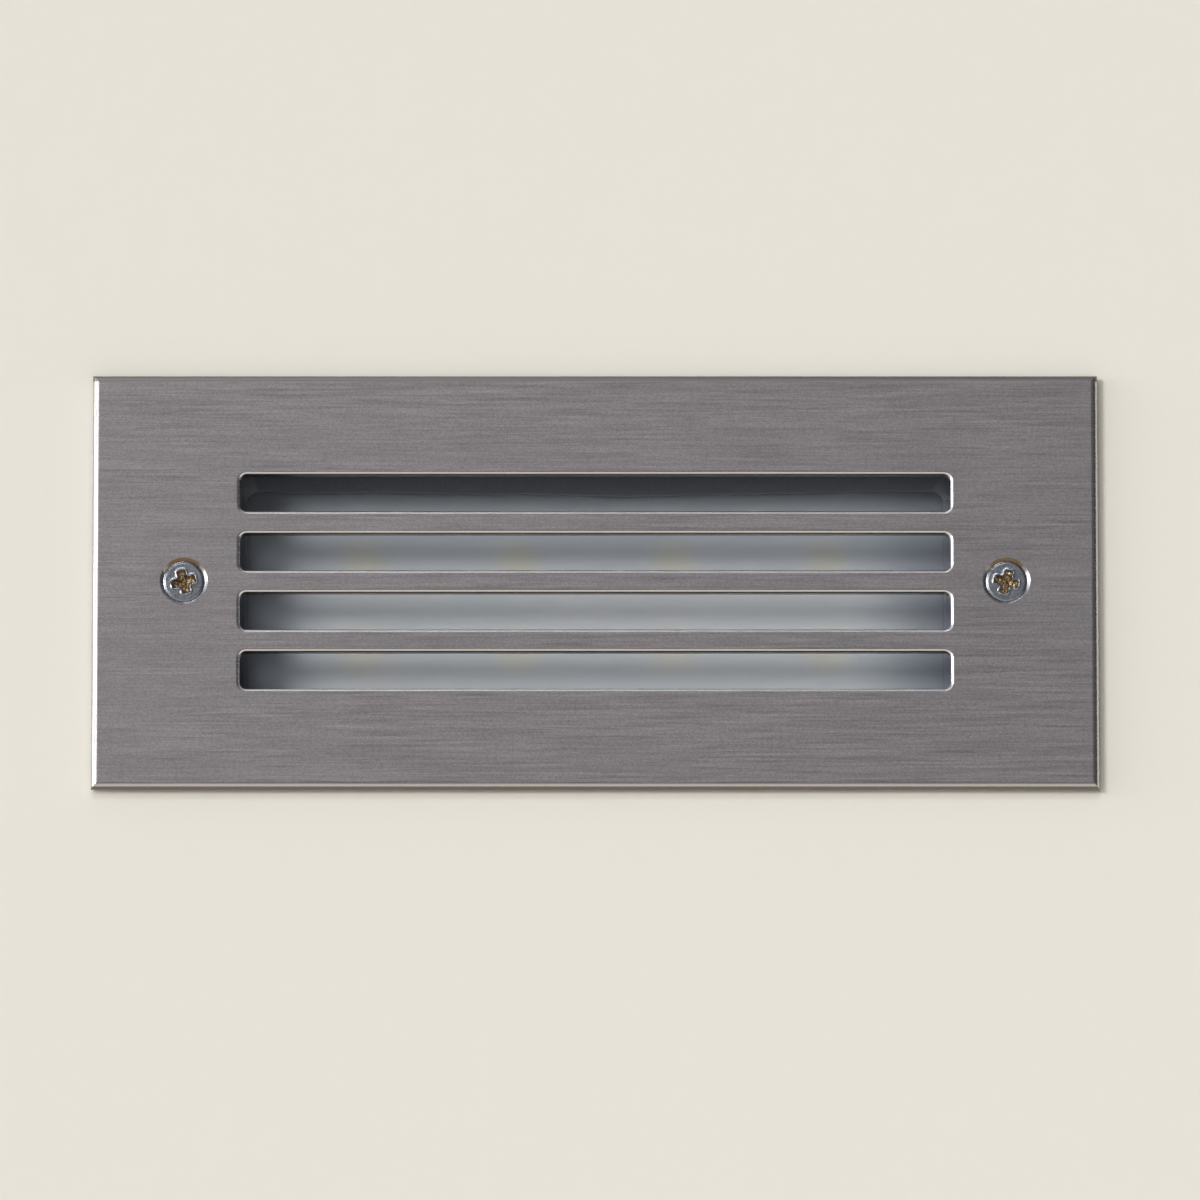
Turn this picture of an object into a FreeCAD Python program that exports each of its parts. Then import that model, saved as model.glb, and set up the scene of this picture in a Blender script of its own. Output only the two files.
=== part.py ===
"""Recessed step light: a brushed louvre plate over a die-cast lamp body in a moulded wall box.

Every piece is drawn lying down: X along the plate, Y up it, and Z out of the wall, with the wall's
surface at Z = 0. Each piece is then stood up, so that in the finished model the wall is the plane
y = 0, the louvres face -Y, and +Z is up. All sizes are in millimetres.
"""
import FreeCAD, Part
import math
import os
import re
import Sketcher

V = FreeCAD.Vector
os.makedirs("parts", exist_ok=True)
doc = FreeCAD.newDocument("step_light")

SIZES = {
    # clearances that several pieces share
    "seat_gap": 0.3,          # between a piece and the seat that it is screwed towards
    "fit_gap": 0.3,           # round a piece that drops into another
    "hole_gap": 0.2,          # round a stem or wire in its hole
    # louvre plate
    "plate_thickness": 2.5,
    "plate_round": 1.5,       # rounded front arris
    "plate_overhang_x": 2.0,  # past the gasket at each end
    "plate_overhang_y": 2.25,
    "slot_count": 4,
    "slot_length": 162.4,
    "slot_height": 8.5,
    "slot_pitch": 13.8,
    "slot_corner": 1.5,
    "slot_roll": 0.8,         # rolled front edge of each slot
    "countersink": 11.0,
    "plate_hole": 6.4,
    # foam gasket between the plate and the wall
    "wall_gap": 1.0,
    "gasket_band": 4.5,
    "gasket_reach": 1.5,      # from the box to the gasket
    # M5 face screws
    "face_head": 9.3,
    "face_head_rim": 0.25,
    "face_shank": 5.0,
    "face_screw_length": 25.0,
    "face_screw_turn": 15.0,  # how far each cross recess stands off upright, in degrees
    "cross_span": 5.2,
    "cross_wing": 1.15,
    "cross_depth": 2.3,
    "cross_taper": 0.5,       # the recess's span at its bottom, as a share of its mouth
    "wing_taper": 0.8,        # and the width of its wings
    "washer_width": 8.8,
    "washer_thickness": 0.9,
    # light chamber, inside the clamp frame
    "chamber_margin_x": 0.8,
    "chamber_margin_y": 3.05,
    "chamber_corner": 3.0,
    "frame_wall": 2.0,
    "lip_round": 1.0,         # how much wider the lip's corner is than the skirt's
    "frame_lip": 1.5,
    "frame_lip_side": 2.5,
    "frame_lip_top": 5.4,
    # M3 clamp screws
    "clamp_screw_inset": 2.3,  # from the frame's outer wall to the screw's axis
    "clamp_screw_pitch": 62.0,
    "clamp_head": 5.6,
    "clamp_shank": 3.0,
    "clamp_screw_length": 8.0,
    "clamp_boss": 6.8,
    # glass and its silicone seal
    "glass_depth": 15.0,
    "glass_thickness": 4.0,
    "glass_corner": 3.0,
    "seal_lip": 1.2,
    "seal_wall": 1.3,
    "seal_cover_x": 2.0,      # how far the seal's lip stands into the chamber
    "seal_cover_y": 3.1,
    # die-cast lamp body
    "flange_thickness": 3.0,
    "flange_rim": 1.1,
    "flange_gap": 0.7,
    "tub_wall": 2.2,
    "tub_draft": 1.0,         # degrees
    "reflector_depth": 11.0,
    "floor_thickness": 3.0,
    "fin_height": 8.0,
    "fin_thickness": 2.0,
    "fin_draft": 2.0,         # degrees
    "fin_margin": 5.5,        # from the tub's side to the middle of the outermost fin
    "fin_count": 19,
    "fin_span": 56.0,
    # light source
    "led_columns": 4,
    "led_rows": 2,
    "led_pitch_y": 20.0,
    "led_size": 5.0,
    "led_height": 1.6,
    "phosphor_width": 4.0,
    "phosphor_depth": 0.4,
    "board_clear": 8.0,       # from each end of the reflector well to the board
    "board_margin_x": 18.75,
    "board_margin_y": 12.0,
    "board_thickness": 1.6,
    "board_corner": 2.0,
    "pad_thickness": 0.5,
    "pad_inset": 1.0,
    "board_screw_inset": 5.0,
    "board_head": 5.6,
    "board_head_height": 2.0,
    "board_shank": 3.0,
    "board_screw_length": 8.0,
    "board_boss": 7.0,
    "tray_wall": 1.0,
    "tray_margin": 0.5,
    "chip_window": 8.0,
    "connector_inset": 6.0,
    "connector_length": 8.0,
    "connector_width": 7.0,
    "connector_height": 4.0,
    # internal wiring
    "lead_width": 1.6,
    "lead_spacing": 2.2,
    "lead_bend": 4.0,
    "lead_room": 4.2,         # between the fins and the terminal block
    "lead_drop": 5.0,
    "grommet_neck": 7.8,
    "grommet_flange": 11.0,
    "grommet_thickness": 1.5,
    "fin_clear": 14.0,        # bare circle round the grommet
    "supply_width": 2.2,
    # terminal block
    "block_gap": 11.0,        # between the driver's lug and the block
    "block_width": 18.0,
    "block_height": 12.0,
    "block_stand": 2.5,
    "pole_count": 3,
    "pole_pitch": 12.0,
    "clamp_width": 5.0,
    "clamp_length": 15.0,
    "clamp_bore": 3.4,
    "wire_level": 5.6,        # wire axis above the block's base
    "terminal_screw": 3.0,
    "terminal_offset": 4.5,
    "fixing_screw": 3.0,
    "fixing_length": 12.0,
    "floor_boss": 7.0,
    # sealed driver
    "driver_gap": 6.5,        # between the screw column and the driver's lug
    "driver_length": 82.0,
    "driver_width": 38.0,
    "driver_height": 14.0,
    "driver_wall": 1.6,
    "driver_corner": 2.5,
    "driver_lid": 1.5,
    "driver_lug": 8.0,
    "driver_lug_width": 10.0,
    "driver_lug_thickness": 2.5,
    "driver_stand": 4.0,
    "driver_screw": 3.5,
    "driver_screw_length": 8.0,
    # wall box
    "box_wall": 2.5,
    "box_corner": 6.0,
    "box_draft": 0.75,        # degrees
    "boss_width": 11.0,
    "boss_gap": 2.0,
    "web_length": 5.0,
    "web_thickness": 3.0,
    "key_reach": 2.0,         # mortar keys round the outside
    "key_thickness": 2.5,
    "key_level": 16.0,
    "key_pitch": 26.0,
    "insert_width": 7.0,
    "insert_length": 9.5,
    "insert_groove": 0.4,
    "knockout_width": 20.0,
    "knockout_depth": 1.2,
    "knockout_level": 30.0,
    "drain_width": 5.0,
    "drain_x": 60.0,
    "fixing_hole": 5.0,
    "fixing_spacing_x": 160.0,
    "fixing_spacing_y": 56.0,
    "fixing_pad": 8.5,        # raised ring round each fixing hole
    "rib_height": 1.2,        # stiffening ribs on the back
    "rib_width": 1.6,
    "rib_count": 5,
    "rib_margin": 9.0,        # from the plug and the fixings to the ribs
    # cable entries
    "entry_inset": 22.0,      # from the face screw to the cable entries
    "entry_y": 14.0,
    "entry_width": 16.0,
    "cable_width": 7.0,
    "gland_flats": 20.0,
    "gland_hex": 4.0,
    "gland_inner": 7.0,
    "gland_outer": 8.0,
    "gland_wall": 2.0,
    "gland_washer": 1.2,
    "locknut_height": 3.5,
    "dome_height": 12.0,
    "dome_mouth": 9.6,
    "dome_slack": 1.0,        # how much smaller the nut is than the gland, across its flats
    "plug_flange": 20.5,
    "plug_rim": 1.0,
    "plug_dish": 1.0,         # how far the flange is dished and bevelled
    "plug_barb": 17.4,
    "plug_nose": 3.5,
}
ALIAS = re.compile(r"\b(" + "|".join(SIZES) + r")\b")
DEGREES_IN_TURN = 360

sheet = doc.addObject("Spreadsheet::Sheet", "dims")
for row, (alias, value) in enumerate(SIZES.items(), start=1):
    sheet.set(f"A{row}", alias)
    sheet.set(f"B{row}", str(value))
    sheet.setAlias(f"B{row}", alias)
doc.recompute()


# ---------------------------------------------------------------- levels, out of the wall

PLATE_BACK = "wall_gap"
PLATE_FACE = "(wall_gap + plate_thickness)"
RIM = "(wall_gap - seat_gap)"                      # rim of the box, the flange and the clamp frame
FLANGE_BACK = f"({RIM} - flange_thickness)"
BOSS_TOP = f"({FLANGE_BACK} - seat_gap)"
GLASS_FRONT = "(0 - glass_depth)"
GLASS_BACK = "(0 - glass_depth - glass_thickness)"
SEAL_FRONT = f"({GLASS_FRONT} + seal_lip)"
SEAL_BACK = f"({GLASS_BACK} - seal_lip)"
FRAME_BACK = f"({SEAL_FRONT} + seat_gap)"
LEDGE = f"({SEAL_BACK} - seat_gap)"
FLOOR = f"({LEDGE} - reflector_depth)"
FLOOR_BACK = f"({FLOOR} - floor_thickness)"
FIN_TIP = f"({FLOOR_BACK} - fin_height)"
BOARD_BACK = f"({FLOOR} + pad_thickness)"
BOARD_FRONT = f"({BOARD_BACK} + board_thickness)"
TRAY_BACK = f"({BOARD_FRONT} + seat_gap)"
TRAY_BASE = f"({TRAY_BACK} + tray_wall)"
TRAY_RIM = f"({LEDGE} - seat_gap)"
BLOCK_TOP = f"({FIN_TIP} - lead_room)"
BLOCK_BASE = f"({BLOCK_TOP} - block_height)"
BOX_FLOOR = f"({BLOCK_BASE} - seat_gap - block_stand)"
BOX_BACK = f"({BOX_FLOOR} - box_wall)"
WIRE_LEVEL = f"({BLOCK_BASE} + wire_level)"
LEAD_LEVEL = f"({FIN_TIP} - lead_room / 2)"
LEAD_IN_LEVEL = f"({LEAD_LEVEL} - lead_drop)"
DRIVER_BASE = f"({BOX_FLOOR} + seat_gap)"
DRIVER_TOP = f"({DRIVER_BASE} + driver_height)"
LUG_BASE = f"({BOX_FLOOR} + driver_stand + seat_gap)"
LUG_TOP = f"({LUG_BASE} + driver_lug_thickness)"

# ---------------------------------------------------------------- widths and heights in plan

SLOTS_H = "(slot_pitch * (slot_count - 1) + slot_height)"
CHAMBER_W = "(slot_length + 2 * chamber_margin_x)"
CHAMBER_H = f"({SLOTS_H} + 2 * chamber_margin_y)"
APERTURE_W = f"({CHAMBER_W} - 2 * seal_cover_x)"
APERTURE_H = f"({CHAMBER_H} - 2 * seal_cover_y)"
FRAME_W = f"({CHAMBER_W} + 2 * frame_wall)"
FRAME_H = f"({CHAMBER_H} + 2 * frame_wall)"
FRAME_CORNER = "(chamber_corner + frame_wall)"
TUB_IN_W = f"({FRAME_W} + 2 * fit_gap)"
TUB_IN_H = f"({FRAME_H} + 2 * fit_gap)"
TUB_IN_CORNER = f"({FRAME_CORNER} + fit_gap)"
TUB_W = f"({TUB_IN_W} + 2 * tub_wall)"
TUB_H = f"({TUB_IN_H} + 2 * tub_wall)"
LIP_W = f"({FRAME_W} + 2 * frame_lip_side)"
LIP_H = f"({FRAME_H} + 2 * frame_lip_top)"
LIP_CORNER = f"({FRAME_CORNER} + lip_round)"
REBATE_W = f"({LIP_W} + 2 * fit_gap)"
REBATE_H = f"({LIP_H} + 2 * fit_gap)"
SCREW_SPACING = f"({TUB_W} + 2 * boss_gap + boss_width)"
BOX_IN_W = f"({SCREW_SPACING} + boss_width + 2 * web_length)"
FLANGE_H = f"({REBATE_H} + 2 * flange_rim)"
FLANGE_W = f"({BOX_IN_W} - 2 * flange_gap)"
BOX_IN_H = f"({FLANGE_H} + 2 * flange_gap)"
BOX_W = f"({BOX_IN_W} + 2 * box_wall)"
BOX_H = f"({BOX_IN_H} + 2 * box_wall)"
WINDOW_W = f"({BOX_W} + 2 * gasket_reach)"
WINDOW_H = f"({BOX_H} + 2 * gasket_reach)"
GASKET_W = f"({WINDOW_W} + 2 * gasket_band)"
GASKET_H = f"({WINDOW_H} + 2 * gasket_band)"
PLATE_W = f"({GASKET_W} + 2 * plate_overhang_x)"
PLATE_H = f"({GASKET_H} + 2 * plate_overhang_y)"
BOARD_W = f"({APERTURE_W} - 2 * board_clear)"
LED_ROW = f"({BOARD_W} - 2 * board_margin_x)"
BOARD_H = "(led_pitch_y * (led_rows - 1) + 2 * board_margin_y)"
BLOCK_H = "(pole_pitch * pole_count)"
CLAMP_ROW = f"({FRAME_H} / 2 + clamp_screw_inset)"
CONNECTOR_X = f"(0 - {BOARD_W} / 2 + connector_inset)"
LEAD_BORE = "(lead_spacing + lead_width + 4 * hole_gap)"
FIN_ROW = f"({TUB_W} - 2 * fin_margin)"
COLUMN_INNER = f"(({SCREW_SPACING} - boss_width) / 2)"
DRIVER_X = f"({COLUMN_INNER} - driver_gap - driver_lug - driver_length / 2)"
DRIVER_LEFT = f"({DRIVER_X} - driver_length / 2)"
BLOCK_X = f"({DRIVER_LEFT} - driver_lug - block_gap - block_width / 2)"
ENTRY_X = f"({SCREW_SPACING} / 2 - entry_inset)"
RIB_LEFT = f"(plug_flange / 2 + rib_margin - {ENTRY_X})"
RIB_RIGHT = "(fixing_spacing_x / 2 - rib_margin)"
RIB_RUN = f"({RIB_RIGHT} - {RIB_LEFT})"


# ---------------------------------------------------------------- drawing helpers

def bound(text):
    """An expression on the sheet's aliases, as the document's objects need it."""
    return ALIAS.sub(r"dims.\1", str(text))


def size(text):
    """The present value of such an expression."""
    return float(sheet.evalExpression(bound(text)))


def stand(piece, x="0", y="0", z="0"):
    """Stand a lying piece up, with its own origin at x, y, z of the lying frame."""
    piece.Placement = FreeCAD.Placement(V(), FreeCAD.Rotation(V(1, 0, 0), 90))
    for axis, text in (("x", x), ("y", f"0 - ({z})"), ("z", y)):
        piece.setExpression(f"Placement.Base.{axis}", bound(text))
    return piece


def new_body(label, x="0", y="0", z="0"):
    body = doc.addObject("PartDesign::Body", label)
    body.Label = label
    return stand(body, x, y, z)


def origin_plane(body, role):
    return next(item for item in body.Origin.OriginFeatures if item.Role == role)


def sketch(body, name, level="0", x="0", y="0", plane="XY_Plane"):
    """A sketch on one of the body's planes, moved to x, y and out by level."""
    drawn = body.newObject("Sketcher::SketchObject", name)
    drawn.AttachmentSupport = (origin_plane(body, plane), [""])
    drawn.MapMode = "FlatFace"
    for axis, text in (("x", x), ("y", y), ("z", level)):
        drawn.setExpression(f"AttachmentOffset.Base.{axis}", bound(text))
    return drawn


def dimension(drawn, kind, where, text):
    """Add a driving dimension that follows an expression."""
    index = drawn.addConstraint(Sketcher.Constraint(kind, *where, size(text)))
    name = f"size{index}"
    drawn.renameConstraint(index, name)
    drawn.setExpression(f"Constraints.{name}", bound(text))


def polygon(drawn, corners):
    """A closed outline whose corners are each tied to the sketch's origin."""
    places = [V(size(x), size(y), 0) for x, y in corners]
    first = drawn.GeometryCount
    count = len(places)
    for index, place in enumerate(places):
        drawn.addGeometry(Part.LineSegment(place, places[(index + 1) % count]), False)
    for index, (x, y) in enumerate(corners):
        line = first + index
        following = first + (index + 1) % count
        drawn.addConstraint(Sketcher.Constraint("Coincident", line, 2, following, 1))
        dimension(drawn, "DistanceX", (-1, 1, line, 1), x)
        dimension(drawn, "DistanceY", (-1, 1, line, 1), y)
    return drawn


def rectangle(drawn, width, height):
    """A sharp rectangle centred on the sketch's origin."""
    right, top = f"{width} / 2", f"{height} / 2"
    left, bottom = f"0 - {right}", f"0 - {top}"
    return polygon(drawn, [(left, bottom), (right, bottom), (right, top), (left, top)])


def rounded(drawn, width, height, corner):
    """A rectangle with round corners, centred on the sketch's origin."""
    x, y, r = size(width) / 2, size(height) / 2, size(corner)
    up = V(0, 0, 1)
    sides = [(V(r - x, -y), V(x - r, -y)), (V(x, r - y), V(x, y - r)),
             (V(x - r, y), V(r - x, y)), (V(-x, y - r), V(-x, r - y))]
    centres = [(V(x - r, r - y), 3), (V(x - r, y - r), 0), (V(r - x, y - r), 1), (V(r - x, r - y), 2)]
    first = drawn.GeometryCount
    for start, end in sides:
        drawn.addGeometry(Part.LineSegment(start, end), False)
    for centre, quarter in centres:
        begin = quarter * math.pi / 2
        drawn.addGeometry(Part.ArcOfCircle(Part.Circle(centre, up, r), begin, begin + math.pi / 2), False)
    low, right, high, left = range(first, first + 4)
    for side in range(4):
        arc = first + 4 + side
        drawn.addConstraint(Sketcher.Constraint("Tangent", first + side, 2, arc, 1))
        drawn.addConstraint(Sketcher.Constraint("Tangent", arc, 2, first + (side + 1) % 4, 1))
    for side in (low, high):
        drawn.addConstraint(Sketcher.Constraint("Horizontal", side))
    for side in (right, left):
        drawn.addConstraint(Sketcher.Constraint("Vertical", side))
    for side in range(1, 4):
        drawn.addConstraint(Sketcher.Constraint("Equal", first + 4, first + 4 + side))
    drawn.addConstraint(Sketcher.Constraint("Symmetric", low, 1, high, 1, -1, 1))
    dimension(drawn, "DistanceX", (left, 1, right, 1), width)
    dimension(drawn, "DistanceY", (low, 1, high, 1), height)
    dimension(drawn, "Radius", (first + 4,), corner)
    return drawn


def circles(drawn, width, centres):
    for x, y in centres:
        circle = Part.Circle(V(size(x), size(y), 0), V(0, 0, 1), size(width) / 2)
        index = drawn.addGeometry(circle, False)
        dimension(drawn, "DistanceX", (-1, 1, index, 3), x)
        dimension(drawn, "DistanceY", (-1, 1, index, 3), y)
        dimension(drawn, "Diameter", (index,), width)
    return drawn


def hexagon(drawn, flats):
    corner = f"{flats} / 2 / cos(30)"
    return polygon(drawn, [(f"{corner} * cos({60 * k})", f"{corner} * sin({60 * k})") for k in range(6)])


def layer(body, name, drawn, depth, draft="0"):
    """Material from the sketch's level down by depth, drawn in by draft on the way."""
    feature = body.newObject("PartDesign::Pad", name)
    feature.Profile = drawn
    feature.Reversed = True
    feature.setExpression("Length", bound(depth))
    feature.setExpression("TaperAngle", bound(f"0 - {draft}"))
    return feature


def pocket(body, name, drawn, depth, draft="0"):
    """A recess from the sketch's level down by depth, drawn in by draft on the way."""
    feature = body.newObject("PartDesign::Pocket", name)
    feature.Profile = drawn
    feature.setExpression("Length", bound(depth))
    feature.setExpression("TaperAngle", bound(f"0 - {draft}"))
    return feature


def row(body, name, feature, direction, length, count, backwards=False):
    """Repeat a feature along one axis of its own sketch."""
    feature_row = body.newObject("PartDesign::LinearPattern", name)
    feature_row.Originals = [feature]
    feature_row.Direction = (feature.Profile[0], [direction])
    feature_row.Reversed = backwards
    feature_row.setExpression("Length", bound(length))
    feature_row.setExpression("Occurrences", bound(count))
    body.Tip = feature_row
    return feature_row


def turned(body, profile, cut=False, name="turned"):
    """Turn a closed profile of (radius, level) corners about the body's Z axis."""
    drawn = polygon(sketch(body, f"{name}_profile", plane="XZ_Plane"), profile)
    kind = "PartDesign::Groove" if cut else "PartDesign::Revolution"
    feature = body.newObject(kind, name)
    feature.Profile = drawn
    feature.ReferenceAxis = (drawn, ["V_Axis"])
    feature.Angle = DEGREES_IN_TURN
    return feature


def edge_names(shape, wanted):
    """The names of the edges whose every end and middle point is wanted."""
    names = []
    for index, edge in enumerate(shape.Edges, start=1):
        middle = edge.valueAt((edge.FirstParameter + edge.LastParameter) / 2)
        points = [vertex.Point for vertex in edge.Vertexes] + [middle]
        if all(wanted(point) for point in points):
            names.append(f"Edge{index}")
    return names


def smooth(body, name, wanted, radius, kind="Fillet"):
    """Round the wanted edges off, or chamfer them."""
    doc.recompute()
    base = body.Tip
    feature = body.newObject(f"PartDesign::{kind}", name)
    feature.Base = (base, edge_names(base.Shape, wanted))
    feature.setExpression("Radius" if kind == "Fillet" else "Size", bound(radius))
    body.Tip = feature
    return feature


def near(value, text):
    tolerance = 1e-4
    return abs(value - size(text)) < tolerance


PIECES = []


def keep(piece):
    PIECES.append(piece)
    return piece


def group(label, source, spots):
    """Equal pieces as separate solids in one node, each at a spot (x, y, z, turn) of the lying frame."""
    doc.recompute()
    solid = source.Tip.Shape if source.isDerivedFrom("PartDesign::Body") else source.Shape
    copies = []
    for x, y, z, turn in spots:
        copy = solid.copy()
        copy.rotate(V(), V(0, 0, 1), turn)
        copy.translate(V(size(x), size(y), size(z)))
        copies.append(copy)
    node = doc.addObject("Part::Feature", label)
    node.Label = label
    node.Shape = Part.makeCompound(copies)
    node.Placement = FreeCAD.Placement(V(), FreeCAD.Rotation(V(1, 0, 0), 90))
    return keep(node)


def minus(text):
    return f"(0 - ({text}))"


def mirrored(x):
    return [x, minus(x)]


# ---------------------------------------------------------------- louvre plate, screws and gasket

def faceplate():
    """Stainless plate with four rolled-edge louvre slots and two countersunk holes."""
    body = new_body("faceplate")
    outline = rectangle(sketch(body, "plate_outline", PLATE_FACE), PLATE_W, PLATE_H)
    layer(body, "plate", outline, "plate_thickness")
    top_slot = sketch(body, "slot_outline", PLATE_FACE, y="slot_pitch * (slot_count - 1) / 2")
    rounded(top_slot, "slot_length", "slot_height", "slot_corner")
    slot = pocket(body, "slot", top_slot, "plate_thickness")
    row(body, "slots", slot, "V_Axis", "slot_pitch * (slot_count - 1)", "slot_count", backwards=True)
    smooth(body, "plate_arris", lambda p: near(p.z, PLATE_FACE) and outer(p), "plate_round")
    smooth(body, "slot_rolls", lambda p: near(p.z, PLATE_FACE) and within(p, "slot_length", SLOTS_H),
           "slot_roll")
    for side, x in (("right", f"{SCREW_SPACING} / 2"), ("left", f"0 - {SCREW_SPACING} / 2")):
        cone = f"({PLATE_FACE} - (countersink - plate_hole) / 2)"
        drawn = sketch(body, f"{side}_hole_profile", plane="XZ_Plane", x=x)
        polygon(drawn, [("0", PLATE_FACE), ("countersink / 2", PLATE_FACE), ("plate_hole / 2", cone),
                        ("plate_hole / 2", PLATE_BACK), ("0", PLATE_BACK)])
        hole = body.newObject("PartDesign::Groove", f"{side}_hole")
        hole.Profile = drawn
        hole.ReferenceAxis = (drawn, ["V_Axis"])
        hole.Angle = DEGREES_IN_TURN
    return keep(body)


def outer(point):
    return near(abs(point.x), f"{PLATE_W} / 2") or near(abs(point.y), f"{PLATE_H} / 2")


def within(point, width, height):
    """Whether a point lies in a centred rectangle or on its outline."""
    tolerance = 1e-4
    return (abs(point.x) <= size(width) / 2 + tolerance
            and abs(point.y) <= size(height) / 2 + tolerance)


def cross_corners(span, wing):
    """The twelve corners of a cross, anticlockwise."""
    far, near_side = f"({span} / 2)", f"({wing} / 2)"
    quarter = [(far, minus(near_side)), (far, near_side), (near_side, near_side)]
    corners = []
    for turn in range(4):
        for x, y in quarter:
            corners.append([(x, y), (minus(y), x), (minus(x), minus(y)), (y, minus(x))][turn])
    return corners


def cross_recess(body, span, wing, depth):
    """A cross-shaped driver recess that narrows downwards, in a head whose top is at zero."""
    mouth = polygon(sketch(body, "cross_mouth"), cross_corners(span, wing))
    bottom = sketch(body, "cross_bottom", f"0 - {depth}")
    polygon(bottom, cross_corners(f"({span} * cross_taper)", f"({wing} * wing_taper)"))
    recess = body.newObject("PartDesign::SubtractiveLoft", "cross")
    recess.Profile = mouth
    recess.Sections = [bottom]
    recess.Ruled = True


def countersunk_screw(label, head, rim, shank, length):
    """A flat-headed screw, its head's top at zero and its 90 degree cone below."""
    body = new_body(label)
    neck = f"({rim} + ({head} - {shank}) / 2)"
    turned(body, [("0", "0"), (f"{head} / 2", "0"), (f"{head} / 2", f"0 - {rim}"),
                  (f"{shank} / 2", f"0 - {neck}"), (f"{shank} / 2", f"0 - {length}"), ("0", f"0 - {length}")])
    return body


def face_screws():
    """Two M5 screws, sunk until their cones meet the countersinks."""
    screw = countersunk_screw("face_screw", "face_head", "face_head_rim", "face_shank", "face_screw_length")
    cross_recess(screw, "cross_span", "cross_wing", "cross_depth")
    top = f"({PLATE_FACE} - (countersink - face_head) / 2 + face_head_rim + hole_gap / 2)"
    turn = size("face_screw_turn")
    spots = [(f"0 - {SCREW_SPACING} / 2", "0", top, -turn), (f"{SCREW_SPACING} / 2", "0", top, turn)]
    return group("face_screws", screw, spots)


def screw_retaining_washers():
    """Nylon washers in the flange that keep the face screws on the plate."""
    washer = new_body("screw_retaining_washer")
    inner = "(face_shank / 2 + hole_gap)"
    turned(washer, [(inner, "0"), ("washer_width / 2", "0"), ("washer_width / 2", "0 - washer_thickness"),
                    (inner, "0 - washer_thickness")])
    spots = [(x, "0", RIM, 0) for x in mirrored(f"{SCREW_SPACING} / 2")]
    return group("screw_retaining_washers", washer, spots)


def faceplate_gasket():
    """Foam ring that seals the plate to the wall round the box."""
    body = new_body("faceplate_gasket")
    outline = sketch(body, "gasket_outline", PLATE_BACK)
    rounded(outline, GASKET_W, GASKET_H, "gasket_band")
    layer(body, "gasket", outline, "wall_gap")
    window = sketch(body, "gasket_window", PLATE_BACK)
    rounded(window, WINDOW_W, WINDOW_H, "(box_corner + gasket_reach)")
    pocket(body, "window", window, "wall_gap")
    return keep(body)


# ---------------------------------------------------------------- clamp frame, glass and seal

def clamp_spots(level):
    columns = ["clamp_screw_pitch", "0", "(0 - clamp_screw_pitch)"]
    return [(x, y, level, 0) for y in mirrored(CLAMP_ROW) for x in columns]


def glass_clamp_frame():
    """Deep frame whose walls line the light chamber, with a lip that is screwed to the lamp body."""
    body = new_body("glass_clamp_frame")
    lip = rounded(sketch(body, "lip_outline", RIM), LIP_W, LIP_H, LIP_CORNER)
    layer(body, "lip", lip, "frame_lip")
    skirt = rounded(sketch(body, "skirt_outline", RIM), FRAME_W, FRAME_H, FRAME_CORNER)
    layer(body, "skirt", skirt, f"{RIM} - {FRAME_BACK}")
    chamber = rounded(sketch(body, "chamber_outline", RIM), CHAMBER_W, CHAMBER_H, "chamber_corner")
    pocket(body, "chamber", chamber, f"{RIM} - {FRAME_BACK}")
    smooth(body, "chamber_arris", lambda p: near(p.z, RIM) and within(p, CHAMBER_W, CHAMBER_H),
           "frame_lip / 3")
    hole = "(clamp_shank + hole_gap)"
    holes = sketch(body, "clamp_holes", RIM)
    circles(holes, hole, [(x, y) for x, y, _, _ in clamp_spots(RIM)])
    pocket(body, "holes", holes, "frame_lip")
    cones = sketch(body, "clamp_cones", RIM)
    circles(cones, "(clamp_head + hole_gap * 2)", [(x, y) for x, y, _, _ in clamp_spots(RIM)])
    pocket(body, "countersinks", cones, "(clamp_head + hole_gap - clamp_shank) / 2", draft="45")
    return keep(body)


def clamp_screws():
    screw = countersunk_screw("clamp_screw", "clamp_head", "hole_gap / 2", "clamp_shank",
                              "clamp_screw_length")
    cross_recess(screw, "clamp_head * 0.55", "clamp_head * 0.13", "clamp_head * 0.22")
    return group("clamp_screws", screw, clamp_spots(RIM))


def glass_seal():
    """Silicone channel that wraps the edge of the glass."""
    body = new_body("glass_seal")
    outline = rounded(sketch(body, "seal_outline", SEAL_FRONT), FRAME_W, FRAME_H, FRAME_CORNER)
    layer(body, "seal", outline, f"{SEAL_FRONT} - {SEAL_BACK}")
    opening = rounded(sketch(body, "aperture", SEAL_FRONT), APERTURE_W, APERTURE_H, "chamber_corner")
    pocket(body, "opening", opening, f"{SEAL_FRONT} - {SEAL_BACK}")
    groove = sketch(body, "glass_groove", GLASS_FRONT)
    rounded(groove, f"({FRAME_W} - 2 * seal_wall)", f"({FRAME_H} - 2 * seal_wall)",
            "(glass_corner + hole_gap)")
    pocket(body, "groove", groove, "glass_thickness")
    return keep(body)


def glass_diffuser():
    """Frosted pane, its edges broken, held in the seal's channel."""
    body = new_body("glass_diffuser")
    pane = sketch(body, "pane_outline", GLASS_FRONT)
    inset = "2 * (seal_wall + hole_gap)"
    rounded(pane, f"({FRAME_W} - {inset})", f"({FRAME_H} - {inset})", "glass_corner")
    layer(body, "pane", pane, "glass_thickness")
    smooth(body, "seamed_edge", lambda p: near(p.z, GLASS_FRONT) or near(p.z, GLASS_BACK),
           "glass_thickness / 8", "Chamfer")
    return keep(body)


# ---------------------------------------------------------------- lamp body and light source

def board_screw_spots(level):
    x = f"({BOARD_W} / 2 - board_screw_inset)"
    y = f"({BOARD_H} / 2 - board_screw_inset)"
    return [(a, b, level, 0) for a in mirrored(x) for b in mirrored(y)]


def places(spots):
    return [(x, y) for x, y, _, _ in spots]


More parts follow.
